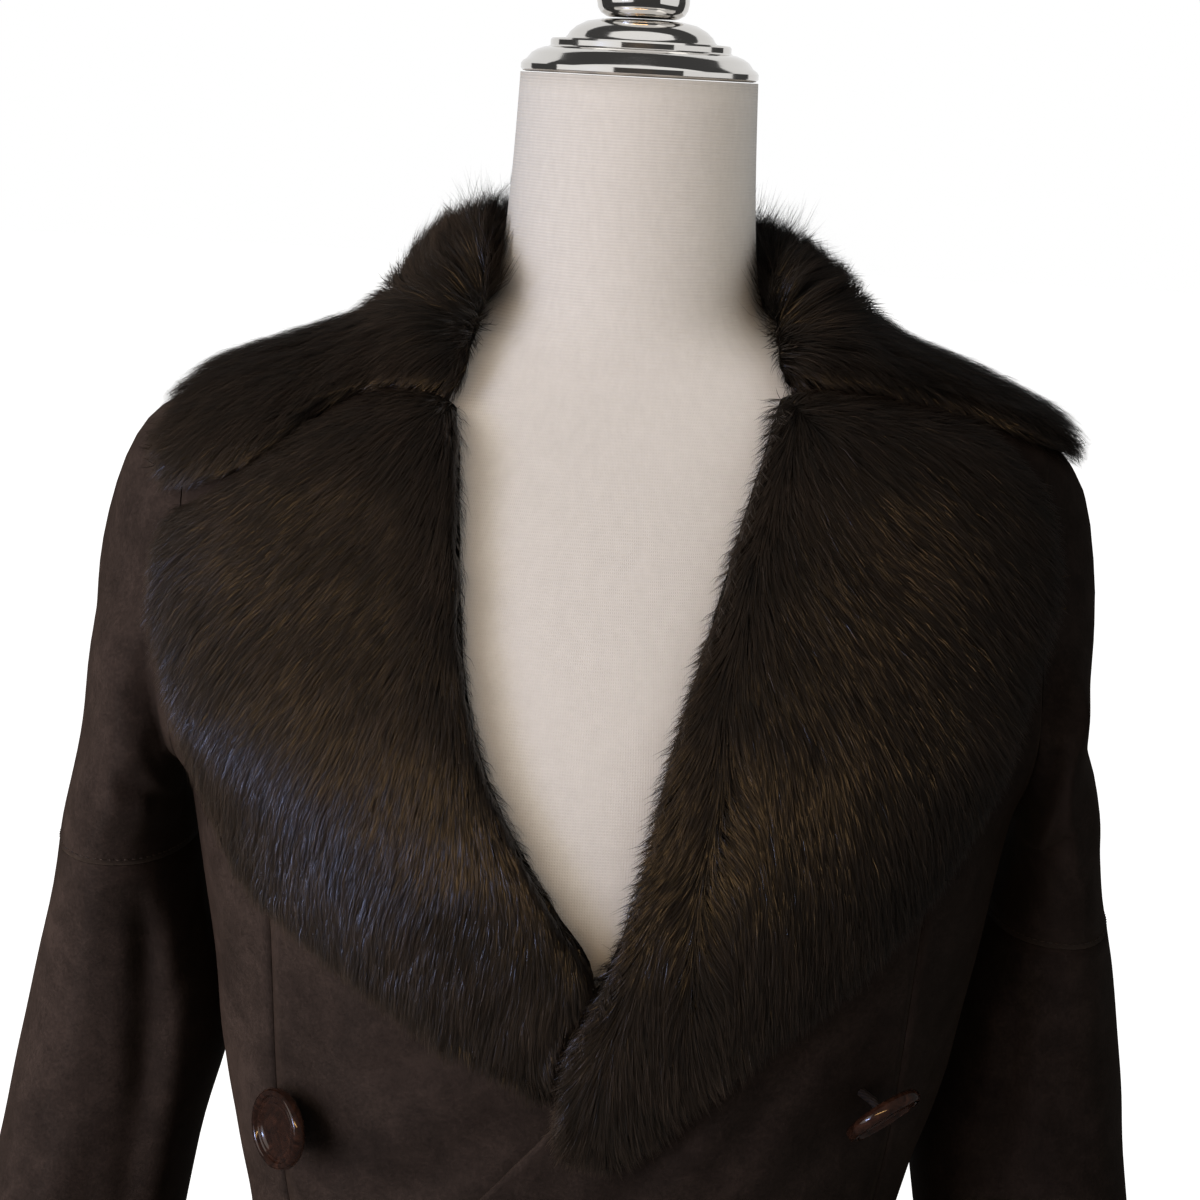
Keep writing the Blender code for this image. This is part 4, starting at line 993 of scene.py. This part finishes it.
class COAT_OT_stand(bpy.types.Operator):
    """Turns the cap, the knob and the foot, and polishes the pole"""

    bl_idname = "coat.stand"
    bl_label = "Cap and Stand"

    def execute(self, context):
        chrome = chrome_material()
        for node, outline, steps in (
            ("neck_cap", CAP_OUTLINE, 96), ("cap_knob", KNOB_OUTLINE, 72),
            ("foot", FOOT_OUTLINE, 120),
        ):
            piece = turned_piece(f"{node}_turned", outline, steps)
            piece.data.transform(Matrix.Translation((0, 0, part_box(node)[0][2])))
            finish_piece(piece, chrome, 30)
            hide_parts(node)
        paint_frame_piece("pole", chrome)
        return {"FINISHED"}


# ---------------------------------------------------------------- stage
def soft_light(name, place, target, size, power, colour, mirrored=True, lit=()):
    """An area light. mirrored shows it in glossy surfaces, and lit names all that it lights."""
    data = bpy.data.lights.new(name, "AREA")
    data.shape = "RECTANGLE"
    data.size, data.size_y = size
    data.energy = power
    data.color = linear(colour)[:3]
    lamp = add_object(name, data)
    lamp.location = place
    lamp.rotation_euler = (Vector(target) - Vector(place)).to_track_quat("-Z", "Y").to_euler()
    lamp.visible_glossy = mirrored
    lamp.visible_camera = False
    if lit:
        group = bpy.data.collections.new(f"{name}_lights")
        for piece in lit:
            group.objects.link(piece)
        lamp.light_linking.receiver_collection = group


class COAT_OT_stage(bpy.types.Operator):
    """Lays the pale floor and sets the soft lights and the camera"""

    bl_idname = "coat.stage"
    bl_label = "Studio Stage"

    def execute(self, context):
        settings = context.scene.studio
        bpy.ops.mesh.primitive_plane_add(size=settings.floor_size, location=(0, 0, 0))
        floor = context.object
        floor.name = "studio_floor"
        floor.data.materials.append(floor_material())
        chest = (0, 0, 1.2)
        metal = [bpy.data.objects[f"{name}_turned"] for name in ("neck_cap", "cap_knob", "foot")]
        metal.append(frame["nodes"]["pole"])
        buttons = [o for o in bpy.data.objects if o.name.startswith("button_")]
        coat = [bpy.data.objects[f"{cut.node}_skin"] for cut in SUEDE_CUTS + FUR_CUTS]
        coat += [o for o in bpy.data.objects if "_fur_" in o.name or "_stitches_" in o.name]
        soft_light("key", (-1.9, -1.7, 2.3), chest, (1.4, 1.4), settings.key_power, "#fff6ee",
                   mirrored=False)
        soft_light("side", (-1.8, -0.8, 1.35), chest, (2.4, 2.4), settings.side_power, "#fdf8f6",
                   mirrored=False, lit=coat)
        soft_light("warm_strip", (-0.3, -2.4, 1.98), chest, (1.8, 0.12), 12.0, "#ffca84")
        soft_light("cool_strip", (-1.75, -1.6, 1.28), chest, (0.7, 0.12), 11.0, "#b4c6ff")
        soft_light("button_sheen", (-1.5, -0.9, 1.35), chest, (1.1, 1.1), 3.2, "#fff2e6",
                   lit=buttons)
        # The polished metal mirrors large panels that light nothing else.
        cap = (0, 0, 1.51)
        soft_light("cap_back", (0, 1.9, 1.9), cap, (5.0, 3.4), 44.0, "#ffffff", lit=metal)
        soft_light("cap_top", (0, -1.2, 3.0), cap, (5.0, 3.2), 50.0, "#ffffff", lit=metal)
        soft_light("cap_left", (-1.3, -0.9, 1.75), cap, (1.9, 1.5), 9.0, "#ffffff", lit=metal)
        soft_light("cap_right", (1.4, -0.5, 1.8), cap, (1.7, 1.6), 7.5, "#ffffff", lit=metal)
        world = bpy.data.worlds.new("Studio")
        context.scene.world = world
        world.use_nodes = True
        tree = world.node_tree
        plain = tree.nodes["Background"]
        plain.inputs["Color"].default_value = linear("#ffffff")
        # The room fills the shadows, and is dim where it is mirrored.
        path = add_node(tree, "ShaderNodeLightPath")
        dimmed = add_node(tree, "ShaderNodeMapRange", {
            "Value": path.outputs["Is Glossy Ray"], "To Min": settings.room,
            "To Max": settings.room_mirrored}).outputs["Result"]
        tree.links.new(dimmed, plain.inputs["Strength"])
        white = add_node(tree, "ShaderNodeBackground", {
            "Color": linear("#ffffff"), "Strength": 1.0})
        both = add_node(tree, "ShaderNodeMixShader", {
            "Fac": path.outputs["Is Camera Ray"], 1: plain.outputs[0], 2: white.outputs[0]})
        tree.links.new(both.outputs[0], tree.nodes["World Output"].inputs["Surface"])
        context.scene.view_settings.view_transform = "Standard"
        data = bpy.data.cameras.new("camera")
        data.lens = CAMERA_LENS
        data.sensor_width = 36
        camera = add_object("camera", data)
        camera.matrix_world = (
            Matrix.Translation(CAMERA_PLACE)
            @ Matrix.Rotation(math.pi / 2 - CAMERA_DOWN, 4, "X")
            @ Matrix.Rotation(CAMERA_ROLL, 4, "Z"))
        context.scene.camera = camera
        return {"FINISHED"}


# ---------------------------------------------------------------- add-on
class COAT_PT_panel(bpy.types.Panel):
    """Lists the coat's pieces in the order in which they are made"""

    bl_idname = "COAT_PT_panel"
    bl_label = "Coat"
    bl_space_type = "VIEW_3D"
    bl_region_type = "UI"
    bl_category = "Coat"

    def draw(self, context):
        for operator in OPERATORS:
            self.layout.operator(operator.bl_idname)
        for group in (context.scene.coat, context.scene.dress_form, context.scene.studio):
            for name in group.__annotations__:
                self.layout.prop(group, name)


OPERATORS = (COAT_OT_suede, COAT_OT_stitching, COAT_OT_fur, COAT_OT_buttons, COAT_OT_form,
             COAT_OT_stand, COAT_OT_stage)
GROUPS = {"coat": CoatSettings, "dress_form": FormSettings, "studio": StageSettings}


def register():
    for cls in (*GROUPS.values(), *OPERATORS, COAT_PT_panel):
        bpy.utils.register_class(cls)
    for name, cls in GROUPS.items():
        setattr(bpy.types.Scene, name, PointerProperty(type=cls))


def unregister():
    for name in GROUPS:
        delattr(bpy.types.Scene, name)
    for cls in reversed((*GROUPS.values(), *OPERATORS, COAT_PT_panel)):
        bpy.utils.unregister_class(cls)


def main():
    register()
    for operator in OPERATORS:
        group, name = operator.bl_idname.split(".")
        getattr(getattr(bpy.ops, group), name)()


if __name__ == "__main__":
    main()
